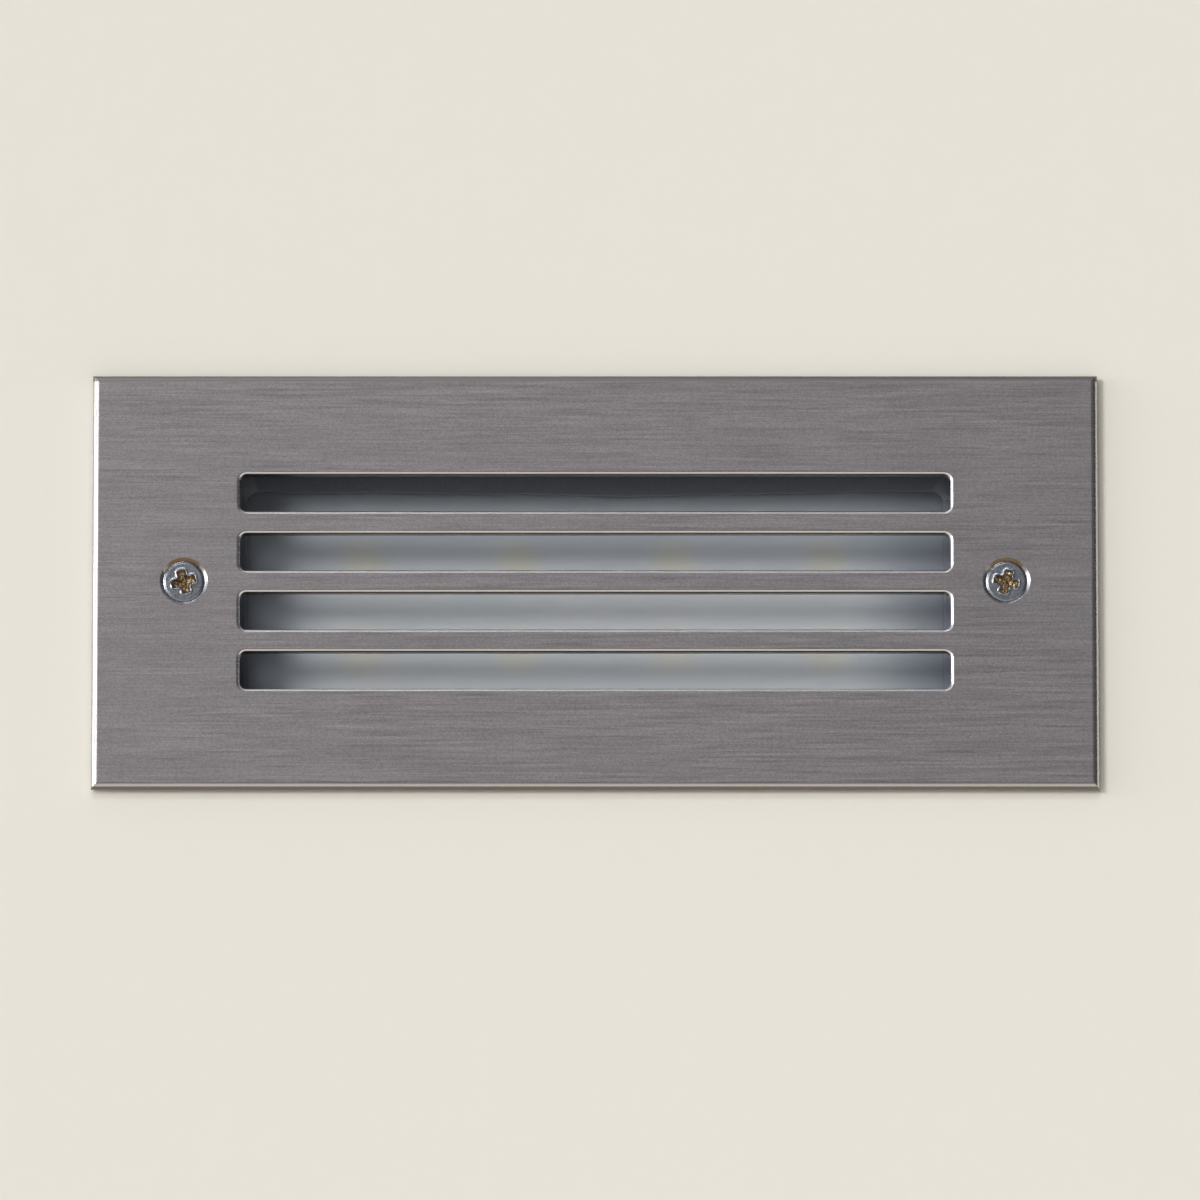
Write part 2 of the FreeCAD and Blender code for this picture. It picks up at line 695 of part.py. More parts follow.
def lamp_body():
    """Die-cast tub with a screw flange, a glass ledge and cooling fins on its back."""
    body = new_body("lamp_body")
    flange = rounded(sketch(body, "flange_outline", RIM), FLANGE_W, FLANGE_H, "(box_corner - flange_gap)")
    layer(body, "flange", flange, "flange_thickness")
    tub = rounded(sketch(body, "tub_outline", RIM), TUB_W, TUB_H, f"({TUB_IN_CORNER} + tub_wall)")
    layer(body, "tub", tub, f"{RIM} - {FLOOR_BACK}", "tub_draft")
    bosses = circles(sketch(body, "clamp_bosses", FLANGE_BACK), "clamp_boss", places(clamp_spots("0")))
    layer(body, "clamp_columns", bosses, "clamp_screw_length", "tub_draft")
    screw_tip = f"({TRAY_BASE} - board_screw_length)"
    board_bosses = circles(sketch(body, "board_bosses", FLOOR), "board_boss", places(board_screw_spots("0")))
    layer(body, "board_columns", board_bosses, f"{FLOOR} - {screw_tip} + tray_wall", "tub_draft")
    fins(body)
    clear = circles(sketch(body, "grommet_clearing", FLOOR_BACK), "fin_clear", [(CONNECTOR_X, "0")])
    pocket(body, "clearing", clear, "fin_height")
    mouth = rounded(sketch(body, "mouth", RIM), TUB_IN_W, TUB_IN_H, TUB_IN_CORNER)
    pocket(body, "glass_well", mouth, f"{RIM} - {LEDGE}")
    well = rounded(sketch(body, "well", LEDGE), APERTURE_W, APERTURE_H, "chamber_corner")
    pocket(body, "reflector_well", well, "reflector_depth")
    rebate = rounded(sketch(body, "rebate", RIM), REBATE_W, REBATE_H, f"({LIP_CORNER} + fit_gap)")
    pocket(body, "lip_rebate", rebate, "frame_lip + seat_gap")
    ears = [(x, "0") for x in mirrored(f"{SCREW_SPACING} / 2")]
    pocket(body, "face_screw_holes", circles(sketch(body, "ears", RIM), "plate_hole", ears),
           "flange_thickness")
    pocket(body, "washer_seats",
           circles(sketch(body, "washer_rings", RIM), "(washer_width + 2 * fit_gap)", ears),
           "washer_thickness + seat_gap")
    clamp_holes = circles(sketch(body, "clamp_taps", RIM), "(clamp_shank + hole_gap)",
                          places(clamp_spots("0")))
    pocket(body, "clamp_threads", clamp_holes, "clamp_screw_length + hole_gap * 2")
    board_holes = circles(sketch(body, "board_taps", FLOOR), "(board_shank + hole_gap)",
                          places(board_screw_spots("0")))
    pocket(body, "board_threads", board_holes, f"{FLOOR} - {screw_tip} + hole_gap")
    lead_hole = circles(sketch(body, "lead_hole", FLOOR), "(grommet_neck + hole_gap)", [(CONNECTOR_X, "0")])
    pocket(body, "grommet_hole", lead_hole, "floor_thickness")
    return keep(body)


def fins(body):
    """Upright cooling fins, thinner at their tips."""
    drawn = sketch(body, "fin_outline", FLOOR_BACK, x=f"0 - {FIN_ROW} / 2")
    rectangle(drawn, "fin_thickness", "fin_span")
    fin = layer(body, "fin", drawn, "fin_height", "fin_draft")
    row(body, "fin_row", fin, "H_Axis", FIN_ROW, "fin_count")


def thermal_pad():
    body = new_body("thermal_pad")
    drawn = sketch(body, "pad_outline", BOARD_BACK)
    rounded(drawn, f"({BOARD_W} - 2 * pad_inset)", f"({BOARD_H} - 2 * pad_inset)", "board_corner")
    layer(body, "pad", drawn, "pad_thickness")
    holes = circles(sketch(body, "screw_clearance", BOARD_BACK), "(board_shank + 4 * hole_gap)",
                    places(board_screw_spots("0")))
    pocket(body, "screw_holes", holes, "pad_thickness")
    lead = circles(sketch(body, "lead_clearance", BOARD_BACK), "(grommet_neck + 4 * hole_gap)",
                   [(CONNECTOR_X, "0")])
    pocket(body, "lead_hole", lead, "pad_thickness")
    return keep(body)


def led_board():
    """Metal-core board that carries the light sources."""
    body = new_body("led_board")
    drawn = rounded(sketch(body, "board_outline", BOARD_FRONT), BOARD_W, BOARD_H, "board_corner")
    layer(body, "board", drawn, "board_thickness")
    holes = circles(sketch(body, "screw_clearance", BOARD_FRONT), "(board_shank + 2 * hole_gap)",
                    places(board_screw_spots("0")))
    pocket(body, "screw_holes", holes, "board_thickness")
    lead = circles(sketch(body, "lead_clearance", BOARD_FRONT), LEAD_BORE, [(CONNECTOR_X, "0")])
    pocket(body, "lead_hole", lead, "board_thickness")
    return keep(body)


def led_spots(level):
    columns, rows = int(size("led_columns")), int(size("led_rows"))
    xs = [f"({LED_ROW} * ({k} / (led_columns - 1) - 0.5))" for k in range(columns)]
    ys = [f"(led_pitch_y * ({k} - (led_rows - 1) / 2))" for k in range(rows)]
    return [(x, y, level, 0) for y in ys for x in xs]


def led_chips():
    """Square light sources with a shallow well, and the yellow filling in each well."""
    chip = new_body("led_chip")
    layer(chip, "chip", rectangle(sketch(chip, "chip_outline", "led_height"), "led_size", "led_size"),
          "led_height")
    well = rectangle(sketch(chip, "well_outline", "led_height"), "phosphor_width", "phosphor_width")
    pocket(chip, "well", well, "phosphor_depth")
    filling = doc.addObject("Part::Box", "phosphor")
    for side, length in (("Length", "phosphor_width"), ("Width", "phosphor_width"),
                         ("Height", "phosphor_depth")):
        filling.setExpression(side, bound(length))
    for axis in "xy":
        filling.setExpression(f"Placement.Base.{axis}", bound("0 - phosphor_width / 2"))
    group("led_chips", chip, led_spots(BOARD_FRONT))
    group("led_phosphors", filling, led_spots(f"({BOARD_FRONT} + led_height - phosphor_depth)"))


def reflector_tray():
    """White tray whose walls lean out from the board to the glass."""
    body = new_body("reflector_tray")
    rim_w, rim_h = f"({APERTURE_W} - 2 * fit_gap)", f"({APERTURE_H} - 2 * fit_gap)"
    base_w, base_h = f"({BOARD_W} + 2 * tray_margin)", f"({BOARD_H} + 2 * tray_margin)"
    rim = rounded(sketch(body, "rim_outline", TRAY_RIM), rim_w, rim_h, "chamber_corner")
    base = rounded(sketch(body, "base_outline", TRAY_BACK), base_w, base_h, "chamber_corner")
    shell = body.newObject("PartDesign::AdditiveLoft", "tray")
    shell.Profile = rim
    shell.Sections = [base]
    shell.Ruled = True
    inner_rim = sketch(body, "inner_rim", TRAY_RIM)
    rounded(inner_rim, f"({rim_w} - 2 * tray_wall)", f"({rim_h} - 2 * tray_wall)", "chamber_corner / 2")
    inner_base = sketch(body, "inner_base", TRAY_BASE)
    rounded(inner_base, f"({base_w} - 2 * tray_wall)", f"({base_h} - 2 * tray_wall)", "chamber_corner / 2")
    hollow = body.newObject("PartDesign::SubtractiveLoft", "hollow")
    hollow.Profile = inner_rim
    hollow.Sections = [inner_base]
    hollow.Ruled = True
    for index, (x, y) in enumerate(places(led_spots("0")), start=1):
        window = sketch(body, f"chip_window_{index}", TRAY_BASE, x=x, y=y)
        rectangle(window, "chip_window", "chip_window")
        pocket(body, f"chip_hole_{index}", window, "tray_wall")
    screws = circles(sketch(body, "screw_clearance", TRAY_BASE), "(board_shank + 2 * hole_gap)",
                     places(board_screw_spots("0")))
    pocket(body, "screw_holes", screws, "tray_wall")
    notch = sketch(body, "connector_window", TRAY_BASE, x=CONNECTOR_X)
    rectangle(notch, "(connector_length + 2 * fit_gap)", "(connector_width + 2 * fit_gap)")
    pocket(body, "connector_hole", notch, "tray_wall")
    return keep(body)


def pan_screw(label, head, head_height, shank, length):
    """A pan-headed screw whose seat, under the head, is at zero."""
    body = new_body(label)
    rim, stem, tip = f"{head} / 2", f"{shank} / 2", f"0 - {length}"
    turned(body, [("0", head_height), (f"{head} * 0.35", head_height), (rim, f"{head_height} * 0.6"),
                  (rim, "0"), (stem, "0"), (stem, tip), ("0", tip)])
    slot = sketch(body, "slot", head_height)
    rectangle(slot, f"({head} * 2)", f"({head} * 0.15)")
    pocket(body, "driver_slot", slot, f"{head_height} * 0.45")
    return body


def board_screws():
    screw = pan_screw("board_screw", "board_head", "board_head_height", "board_shank", "board_screw_length")
    return group("board_screws", screw, board_screw_spots(TRAY_BASE))


def board_connector():
    """Two-pole connector that stands on the board over the lead hole."""
    body = new_body("board_connector", x=CONNECTOR_X)
    drawn = sketch(body, "housing_outline", f"({BOARD_FRONT} + connector_height)")
    rectangle(drawn, "connector_length", "connector_width")
    layer(body, "housing", drawn, "connector_height")
    slots = sketch(body, "release_slots", f"({BOARD_FRONT} + connector_height)")
    circles(slots, "lead_width", [("0", y) for y in mirrored("lead_spacing / 2")])
    pocket(body, "contacts", slots, "connector_height / 2")
    return keep(body)


# ---------------------------------------------------------------- wiring

def lead_grommet():
    """Rubber bung in the lamp body's floor that the leads pass through."""
    body = new_body("lead_grommet", x=CONNECTOR_X, z=FLOOR_BACK)
    bore = f"({LEAD_BORE} / 2)"
    neck, flange = "grommet_neck / 2", "grommet_flange / 2"
    turned(body, [(bore, "floor_thickness"), (neck, "floor_thickness"), (neck, "0"), (flange, "0"),
                  (flange, "0 - grommet_thickness * 0.6"), (neck, "0 - grommet_thickness"),
                  (bore, "0 - grommet_thickness")])
    return keep(body)


def bent_wire(points, bend):
    """A wire of straight runs whose corners are arcs of one radius."""
    edges = []
    start = points[0]
    for before, corner, after in zip(points, points[1:], points[2:]):
        back, forth = (before - corner).normalize(), (after - corner).normalize()
        half = back.getAngle(forth) / 2
        trim = bend / math.tan(half)
        into, out = corner + back * trim, corner + forth * trim
        bisector = (back + forth).normalize()
        middle = corner + bisector * (bend / math.sin(half) - bend)
        edges.append(Part.LineSegment(start, into).toShape())
        edges.append(Part.Arc(into, middle, out).toShape())
        start = out
    edges.append(Part.LineSegment(start, points[-1]).toShape())
    return Part.Wire(edges)


def led_lead(label, y):
    """A lead from the board connector, through the grommet, over the terminal block to the driver."""
    x, level, deep = size(CONNECTOR_X), size(LEAD_LEVEL), size(LEAD_IN_LEVEL)
    end = size(DRIVER_LEFT)
    down = end - size("driver_lug") - size("lead_bend")
    aside = size(y)
    route = [V(x, aside, size(BOARD_FRONT)), V(x, aside, level), V(down, aside, level),
             V(down + size("lead_drop"), aside, deep), V(end, aside, deep)]
    spine = bent_wire(route, size("lead_bend / 2"))
    ring = Part.Wire(Part.Circle(route[0], V(0, 0, 1), size("lead_width / 2")).toShape())
    node = doc.addObject("Part::Feature", label)
    node.Label = label
    node.Shape = spine.makePipeShell([ring], True, False)
    node.Placement = FreeCAD.Placement(V(), FreeCAD.Rotation(V(1, 0, 0), 90))
    return keep(node)


def supply_lead(label, y):
    """A straight supply lead from a terminal to the driver."""
    node = doc.addObject("Part::Cylinder", label)
    node.Label = label
    start = f"({BLOCK_X} + terminal_offset + terminal_screw)"
    node.setExpression("Radius", bound("supply_width / 2"))
    node.setExpression("Height", bound(f"{DRIVER_LEFT} - {start}"))
    node.Placement = FreeCAD.Placement(V(), FreeCAD.Rotation(V(0, 1, 0), 90))
    for axis, text in (("x", start), ("y", f"0 - {WIRE_LEVEL}"), ("z", y)):
        node.setExpression(f"Placement.Base.{axis}", bound(text))
    return keep(node)


# ---------------------------------------------------------------- terminal block

def pole_rows():
    return [f"(pole_pitch * ({k} - (pole_count - 1) / 2))" for k in range(int(size("pole_count")))]


def gap_rows():
    return [f"(pole_pitch * ({k} - (pole_count - 2) / 2))" for k in range(int(size("pole_count")) - 1)]


def terminal_block():
    """Terminal strip: a square tunnel and two driver wells for each pole, fixing holes between them."""
    body = new_body("terminal_block", x=BLOCK_X)
    drawn = rectangle(sketch(body, "block_outline", BLOCK_TOP), "block_width", BLOCK_H)
    layer(body, "block", drawn, "block_height")
    wells = sketch(body, "gap_wells", BLOCK_TOP)
    circles(wells, "fixing_screw * 2", [("0", y) for y in gap_rows()])
    pocket(body, "fixing_wells", wells, "block_height / 3")
    holes = sketch(body, "gap_holes", BLOCK_TOP)
    circles(holes, "(fixing_screw + 2 * hole_gap)", [("0", y) for y in gap_rows()])
    pocket(body, "fixing_holes", holes, "block_height")
    for index, y in enumerate(pole_rows(), start=1):
        mouth = sketch(body, f"wire_tunnel_{index}", "0 - block_width / 2", y, WIRE_LEVEL, "YZ_Plane")
        rectangle(mouth, "(clamp_width + 2 * hole_gap)", "(clamp_width + 2 * hole_gap)")
        tunnel = pocket(body, f"tunnel_{index}", mouth, "block_width")
        tunnel.Reversed = True
    drivers = sketch(body, "driver_wells", BLOCK_TOP)
    circles(drivers, "(terminal_screw + 4 * hole_gap)",
            [(x, y) for y in pole_rows() for x in mirrored("terminal_offset")])
    pocket(body, "screw_wells", drivers, f"{BLOCK_TOP} - {WIRE_LEVEL}")
    return keep(body)


def terminal_clamps():
    """Square brass bars that the wires go into, tapped for two screws each."""
    clamp = new_body("terminal_clamp")
    end = rectangle(sketch(clamp, "bar_end", "0 - clamp_length / 2", plane="YZ_Plane"),
                    "clamp_width", "clamp_width")
    bar = clamp.newObject("PartDesign::Pad", "bar")
    bar.Profile = end
    bar.setExpression("Length", bound("clamp_length"))
    bore = sketch(clamp, "bore", "0 - clamp_length / 2", plane="YZ_Plane")
    circles(bore, "clamp_bore", [("0", "0")])
    tunnel = pocket(clamp, "tunnel", bore, "clamp_length")
    tunnel.Reversed = True
    taps = circles(sketch(clamp, "taps", "clamp_width / 2"), "(terminal_screw + hole_gap)",
                   [(x, "0") for x in mirrored("terminal_offset")])
    pocket(clamp, "screw_taps", taps, "clamp_width / 2")
    spots = [(BLOCK_X, y, WIRE_LEVEL, 0) for y in pole_rows()]
    return group("terminal_clamps", clamp, spots)


def terminal_screws():
    screw = new_body("terminal_screw")
    tall = "(clamp_width - supply_width / 2 - clamp_bore / 2)"
    radius = "(terminal_screw / 2)"
    turned(screw, [("0", "0"), (radius, "0"), (radius, tall), ("0", tall)])
    slot = rectangle(sketch(screw, "slot", tall), "terminal_screw * 2", "terminal_screw / 5")
    pocket(screw, "driver_slot", slot, "terminal_screw / 3")
    level = f"({WIRE_LEVEL} + supply_width / 2 + hole_gap)"
    spots = [(f"({BLOCK_X} + {x})", y, level, 0) for y in pole_rows() for x in mirrored("terminal_offset")]
    return group("terminal_screws", screw, spots)


def block_screws():
    screw = pan_screw("block_screw", "fixing_screw * 1.7", "fixing_screw * 0.6", "fixing_screw",
                      "fixing_length")
    level = f"({BLOCK_TOP} - block_height / 3)"
    return group("block_screws", screw, [(BLOCK_X, y, level, 0) for y in gap_rows()])


# ---------------------------------------------------------------- driver

def driver_ends():
    return [f"({DRIVER_X} {sign} (driver_length / 2 + driver_lug * 0.55))" for sign in "+-"]


def driver_case():
    """Open moulded case with a screw lug at each end."""
    body = new_body("driver_case")
    drawn = sketch(body, "case_outline", DRIVER_TOP, x=DRIVER_X)
    rounded(drawn, "driver_length", "driver_width", "driver_corner")
    layer(body, "case", drawn, "driver_height", "box_draft")
    lugs = sketch(body, "lug_outline", LUG_TOP, x=DRIVER_X)
    rounded(lugs, "(driver_length + 2 * driver_lug)", "driver_lug_width", "driver_corner")
    layer(body, "lugs", lugs, "driver_lug_thickness")
    hollow = sketch(body, "hollow_outline", DRIVER_TOP, x=DRIVER_X)
    rounded(hollow, "(driver_length - 2 * driver_wall)", "(driver_width - 2 * driver_wall)",
            "driver_corner / 2")
    pocket(body, "hollow", hollow, "driver_height - driver_wall * 2", "box_draft")
    holes = circles(sketch(body, "lug_holes", LUG_TOP), "(driver_screw + 2 * hole_gap)",
                    [(x, "0") for x in driver_ends()])
    pocket(body, "screw_holes", holes, "driver_lug_thickness")
    return keep(body)


def driver_potting():
    """Resin that fills the case over the converter's parts."""
    body = new_body("driver_potting")
    drawn = sketch(body, "resin_outline", f"({DRIVER_TOP} - driver_wall)", x=DRIVER_X)
    inset = "2 * (driver_wall + hole_gap + driver_wall / 4)"
    rounded(drawn, f"(driver_length - {inset})", f"(driver_width - {inset})", "driver_corner / 2")
    layer(body, "resin", drawn, "driver_height - driver_wall * 3 - hole_gap", "box_draft")
    return keep(body)


def driver_lid():
    """Flat lid with a broken edge, over the case."""
    body = new_body("driver_lid")
    drawn = sketch(body, "lid_outline", f"({DRIVER_TOP} + driver_lid)", x=DRIVER_X)
    rounded(drawn, "driver_length", "driver_width", "driver_corner")
    layer(body, "lid", drawn, "driver_lid")
    smooth(body, "lid_arris", lambda p: near(p.z, f"{DRIVER_TOP} + driver_lid"), "driver_lid / 2",
           "Chamfer")
    return keep(body)


def driver_screws():
    screw = pan_screw("driver_fixing", "driver_screw * 1.9", "driver_screw * 0.6", "driver_screw",
                      "driver_screw_length")
    return group("driver_screws", screw, [(x, "0", LUG_TOP, 0) for x in driver_ends()])


# ---------------------------------------------------------------- wall box

def recess_box():
    """Moulded box for the wall, with mortar keys, screw columns and two cable entries in its back."""
    body = new_body("recess_box")
    depth = f"({RIM} - {BOX_BACK})"
    shell = rounded(sketch(body, "box_outline", RIM), BOX_W, BOX_H, "box_corner")
    layer(body, "shell", shell, depth, "box_draft")
    for index in range(2):
        level = f"(0 - key_level - key_pitch * {index})"
        key = sketch(body, f"key_outline_{index + 1}", level)
        rounded(key, f"({BOX_W} + 2 * key_reach)", f"({BOX_H} + 2 * key_reach)", "(box_corner + key_reach)")
        layer(body, f"mortar_key_{index + 1}", key, "key_thickness")
    inside = rounded(sketch(body, "inside", RIM), BOX_IN_W, BOX_IN_H, "(box_corner - box_wall)")
    pocket(body, "cavity", inside, f"{RIM} - {BOX_FLOOR}", "box_draft")
    columns(body)
    floor_bosses(body)
    back_ribs(body)
    box_holes(body)
    return keep(body)


def columns(body):
    """Two screw columns, each tied to its end wall by a web."""
    sides = mirrored(f"{SCREW_SPACING} / 2")
    height = f"({BOSS_TOP} - {BOX_FLOOR} + seat_gap)"
    drawn = circles(sketch(body, "column_outline", BOSS_TOP), "boss_width", [(x, "0") for x in sides])
    layer(body, "screw_columns", drawn, height)
    for name, sign in (("right", ""), ("left", "0 - ")):
        middle = f"{sign}({SCREW_SPACING} / 2 + boss_width / 4 + web_length / 2)"
        web = sketch(body, f"{name}_web_outline", BOSS_TOP, x=middle)
        rectangle(web, "(boss_width / 2 + web_length + box_wall / 2)", "web_thickness")
        layer(body, f"{name}_web", web, height)
    bores = circles(sketch(body, "insert_seats", BOSS_TOP), "(insert_width + hole_gap)",
                    [(x, "0") for x in sides])
    pocket(body, "insert_bores", bores, "insert_length + seat_gap")
    runs = circles(sketch(body, "screw_runs", BOSS_TOP), "(face_shank + 3 * hole_gap)",
                   [(x, "0") for x in sides])
    pocket(body, "screw_bores", runs, "face_screw_length - flange_thickness")


def floor_bosses(body):
    """Bosses on the floor for the terminal block and the driver."""
    block = circles(sketch(body, "block_bosses", f"({BLOCK_BASE} - seat_gap)"), "floor_boss",
                    [(BLOCK_X, y) for y in gap_rows()])
    layer(body, "block_columns", block, "block_stand + seat_gap")
    driver = circles(sketch(body, "driver_bosses", f"({LUG_BASE} - seat_gap)"), "floor_boss",
                     [(x, "0") for x in driver_ends()])
    layer(body, "driver_columns", driver, "driver_stand + seat_gap")
    block_tip = f"({BLOCK_TOP} - block_height / 3 - fixing_length - hole_gap)"
    taps = circles(sketch(body, "block_taps", f"({BLOCK_BASE} - seat_gap)"), "(fixing_screw + hole_gap)",
                   [(BLOCK_X, y) for y in gap_rows()])
    pocket(body, "block_threads", taps, f"{BLOCK_BASE} - seat_gap - {block_tip}")
    driver_tip = f"({LUG_TOP} - driver_screw_length - hole_gap)"
    pilots = circles(sketch(body, "driver_taps", f"({LUG_BASE} - seat_gap)"), "(driver_screw + hole_gap)",
                     [(x, "0") for x in driver_ends()])
    pocket(body, "driver_threads", pilots, f"{LUG_BASE} - seat_gap - {driver_tip}")


def fixing_corners():
    return [(x, y) for x in mirrored("fixing_spacing_x / 2") for y in mirrored("fixing_spacing_y / 2")]


def back_ribs(body):
    """A lattice of ribs on the back, beside the cable entries, and a ring round each wall fixing."""
    upright = sketch(body, "upright_rib_outline", BOX_BACK, x=RIB_LEFT)
    rectangle(upright, "rib_width", "(fixing_spacing_y + rib_margin)")
    rib = layer(body, "upright_rib", upright, "rib_height", "box_draft")
    row(body, "upright_ribs", rib, "H_Axis", RIB_RUN, "rib_count")
    for name, sign in (("upper", ""), ("lower", "0 - ")):
        long = sketch(body, f"{name}_rib_outline", BOX_BACK, x=f"({RIB_LEFT} + {RIB_RUN} / 2)",
                      y=f"{sign}fixing_spacing_y / 4")
        rectangle(long, f"({RIB_RUN} + rib_width)", "rib_width")
        layer(body, f"{name}_rib", long, "rib_height", "box_draft")
    rings = circles(sketch(body, "fixing_rings", BOX_BACK), "fixing_pad", fixing_corners())
    layer(body, "fixing_pads", rings, "rib_height")


def box_holes(body):
    """Cable entries and wall fixings in the back, drains below and a knock-out in each end."""
    entries = circles(sketch(body, "entries", BOX_FLOOR), "(entry_width + 2 * hole_gap)",
                      [(minus(ENTRY_X), y) for y in mirrored("entry_y")])
    pocket(body, "cable_entries", entries, "box_wall")
    fixings = circles(sketch(body, "fixings", BOX_FLOOR), "fixing_hole", fixing_corners())
    pocket(body, "wall_fixings", fixings, "box_wall + rib_height")
    drains = sketch(body, "drains", f"{BOX_H} / 2", plane="XZ_Plane")
    circles(drains, "drain_width", [(x, "0 - knockout_level") for x in mirrored("drain_x")])
    drain_holes = pocket(body, "drain_holes", drains, "box_wall * 2")
    drain_holes.Reversed = False
    for name, level, back in (("right", f"{BOX_W} / 2", False), ("left", f"0 - {BOX_W} / 2", True)):
        disc = sketch(body, f"{name}_knockout", level, plane="YZ_Plane")
        circles(disc, "knockout_width", [("0", "0 - knockout_level")])
        recess = pocket(body, f"{name}_knockout_recess", disc, "knockout_depth")
        recess.Reversed = back


def threaded_inserts():
    """Brass inserts for the face screws, with a groove that the moulding grips."""
    insert = new_body("threaded_insert")
    bore, rim = "(face_shank / 2 + hole_gap / 2)", "(insert_width / 2)"
    waist = f"({rim} - insert_groove)"
    turned(insert, [(bore, "0"), (rim, "0"), (rim, "0 - insert_length * 0.4"),
                    (waist, "0 - insert_length * 0.45"), (waist, "0 - insert_length * 0.6"),
                    (rim, "0 - insert_length * 0.65"), (rim, "0 - insert_length"),
                    (bore, "0 - insert_length")])
    spots = [(x, "0", f"({BOSS_TOP} - seat_gap / 3)", 0) for x in mirrored(f"{SCREW_SPACING} / 2")]
    return group("threaded_inserts", insert, spots)


# ---------------------------------------------------------------- cable entries

GLAND = {"x": minus(ENTRY_X), "y": "0 - entry_y", "z": BOX_BACK}
STEM = "(entry_width / 2)"
GLAND_HEX_END = "(gland_washer + gland_hex)"
GLAND_END = f"({GLAND_HEX_END} + gland_outer)"
BUSH_START = f"({GLAND_HEX_END} + hole_gap)"
BUSH_RADIUS = f"({STEM} - gland_wall)"


def gland_body():
    """Threaded gland: a stem through the box, a hexagon behind it and a cup for the bush."""
    body = new_body("gland_body", **GLAND)
    flats = hexagon(sketch(body, "hex_outline", "0 - gland_washer"), "gland_flats")
    layer(body, "hex", flats, "gland_hex")
    inner, end = "box_wall + gland_inner", minus(GLAND_END)
    turned(body, [("0", inner), (STEM, inner), (STEM, end), ("0", end)], name="stem")
    bore = "(cable_width / 2 + 2 * hole_gap)"
    cup = f"({BUSH_RADIUS} + hole_gap / 2)"
    seat = minus(GLAND_HEX_END)
    turned(body, [("0", inner), (bore, inner), (bore, seat), (cup, seat), (cup, end), ("0", end)],
           cut=True, name="bore")
    return keep(body)


def gland_washer():
    body = new_body("gland_washer", **GLAND)
    inner = f"({STEM} + hole_gap)"
    turned(body, [(inner, "0"), ("gland_flats / 2", "0"), ("gland_flats / 2", "0 - gland_washer"),
                  (inner, "0 - gland_washer")])
    return keep(body)


def gland_locknut():
    body = new_body("gland_locknut", **GLAND)
    top = "(box_wall + seat_gap + locknut_height)"
    flats = hexagon(sketch(body, "hex_outline", top), "gland_flats")
    layer(body, "hex", flats, "locknut_height")
    hole = circles(sketch(body, "thread", top), "(entry_width + hole_gap)", [("0", "0")])
    pocket(body, "bore", hole, "locknut_height")
    return keep(body)


def gland_bush():
    """Rubber bush that grips the cable."""
    body = new_body("gland_bush", **GLAND)
    start, end = f"0 - {BUSH_START}", f"0 - {GLAND_END}"
    turned(body, [("cable_width / 2", start), (BUSH_RADIUS, start), (BUSH_RADIUS, end),
                  ("cable_width / 2", end)])
    return keep(body)


def gland_nut():
    """Domed nut that squeezes the bush."""
    body = new_body("gland_nut", **GLAND)
    top = f"(0 - {GLAND_HEX_END} - seat_gap)"
    low = f"({top} - dome_height)"
    flats = hexagon(sketch(body, "hex_outline", top), "(gland_flats - dome_slack)")
    layer(body, "hex", flats, "dome_height * 0.6")
    outside = "((gland_flats - dome_slack) / 2)"
    turned(body, [("0", top), (outside, top), (outside, f"{top} - dome_height * 0.6"),
                  (f"{outside} * 0.92", f"{top} - dome_height * 0.82"), ("dome_mouth * 0.62", low),
                  ("0", low)], name="dome")
    thread = f"({STEM} + hole_gap / 2)"
    shoulder = f"(0 - {GLAND_END} - hole_gap)"
    mouth = "dome_mouth / 2"
    turned(body, [("0", top), (thread, top), (thread, shoulder), (mouth, f"{shoulder} - gland_wall"),
                  (mouth, low), ("0", low)], cut=True, name="bore")
    return keep(body)


def entry_plug():
    """Blanking plug that snaps into the spare cable entry."""
    body = new_body("entry_plug", x=minus(ENTRY_X), y="entry_y", z=BOX_BACK)
    flange, barb, stem = "(plug_flange / 2)", "(plug_barb / 2)", "(entry_width / 2)"
    inside = "(box_wall + seat_gap)"
    widest = f"({inside} + (plug_barb - entry_width) / 2)"
    nose = f"({widest} + plug_nose)"
    rim, crown = "0 - plug_rim", "0 - plug_rim - plug_dish"
    turned(body, [("0", rim), (f"{stem} / 2", crown), (f"{flange} - plug_dish", crown), (flange, rim),
                  (flange, "0"), (stem, "0"), (stem, inside), (barb, widest),
                  (f"{stem} - plug_dish", nose), ("0", nose)])
    return keep(body)


# ---------------------------------------------------------------- the whole light

def build():
    faceplate()
    face_screws()
    screw_retaining_washers()
    faceplate_gasket()
    glass_clamp_frame()
    clamp_screws()
    glass_seal()
    glass_diffuser()
    lamp_body()
    thermal_pad()
    led_board()
    led_chips()
    reflector_tray()
    board_screws()
    board_connector()
    lead_grommet()
    led_lead("lead_red", "lead_spacing / 2")
    led_lead("lead_black", "0 - lead_spacing / 2")
    terminal_block()
    terminal_clamps()
    terminal_screws()
    block_screws()
    supply_lead("supply_lead_live", "pole_pitch")
    supply_lead("supply_lead_neutral", "0 - pole_pitch")
    driver_case()
    driver_potting()
    driver_lid()
    driver_screws()
    recess_box()
    threaded_inserts()
    gland_body()
    gland_washer()
    gland_locknut()
    gland_bush()
    gland_nut()
    entry_plug()


def write_out():
    """Check every object, then write each piece to its own file."""
    doc.recompute()
    failed = [item.Label for item in doc.Objects if {"Invalid", "Error"} & set(item.State)]
    if failed:
        raise RuntimeError(f"these objects failed: {failed}")
    for piece in PIECES:
        if piece.Shape.isNull() or not piece.Shape.isValid():
            raise RuntimeError(f"{piece.Label} has no valid shape")
    for piece in PIECES:
        piece.Shape.exportStep(f"parts/{piece.Label}.step")
    print(f"{len(PIECES)} pieces written")


build()
write_out()
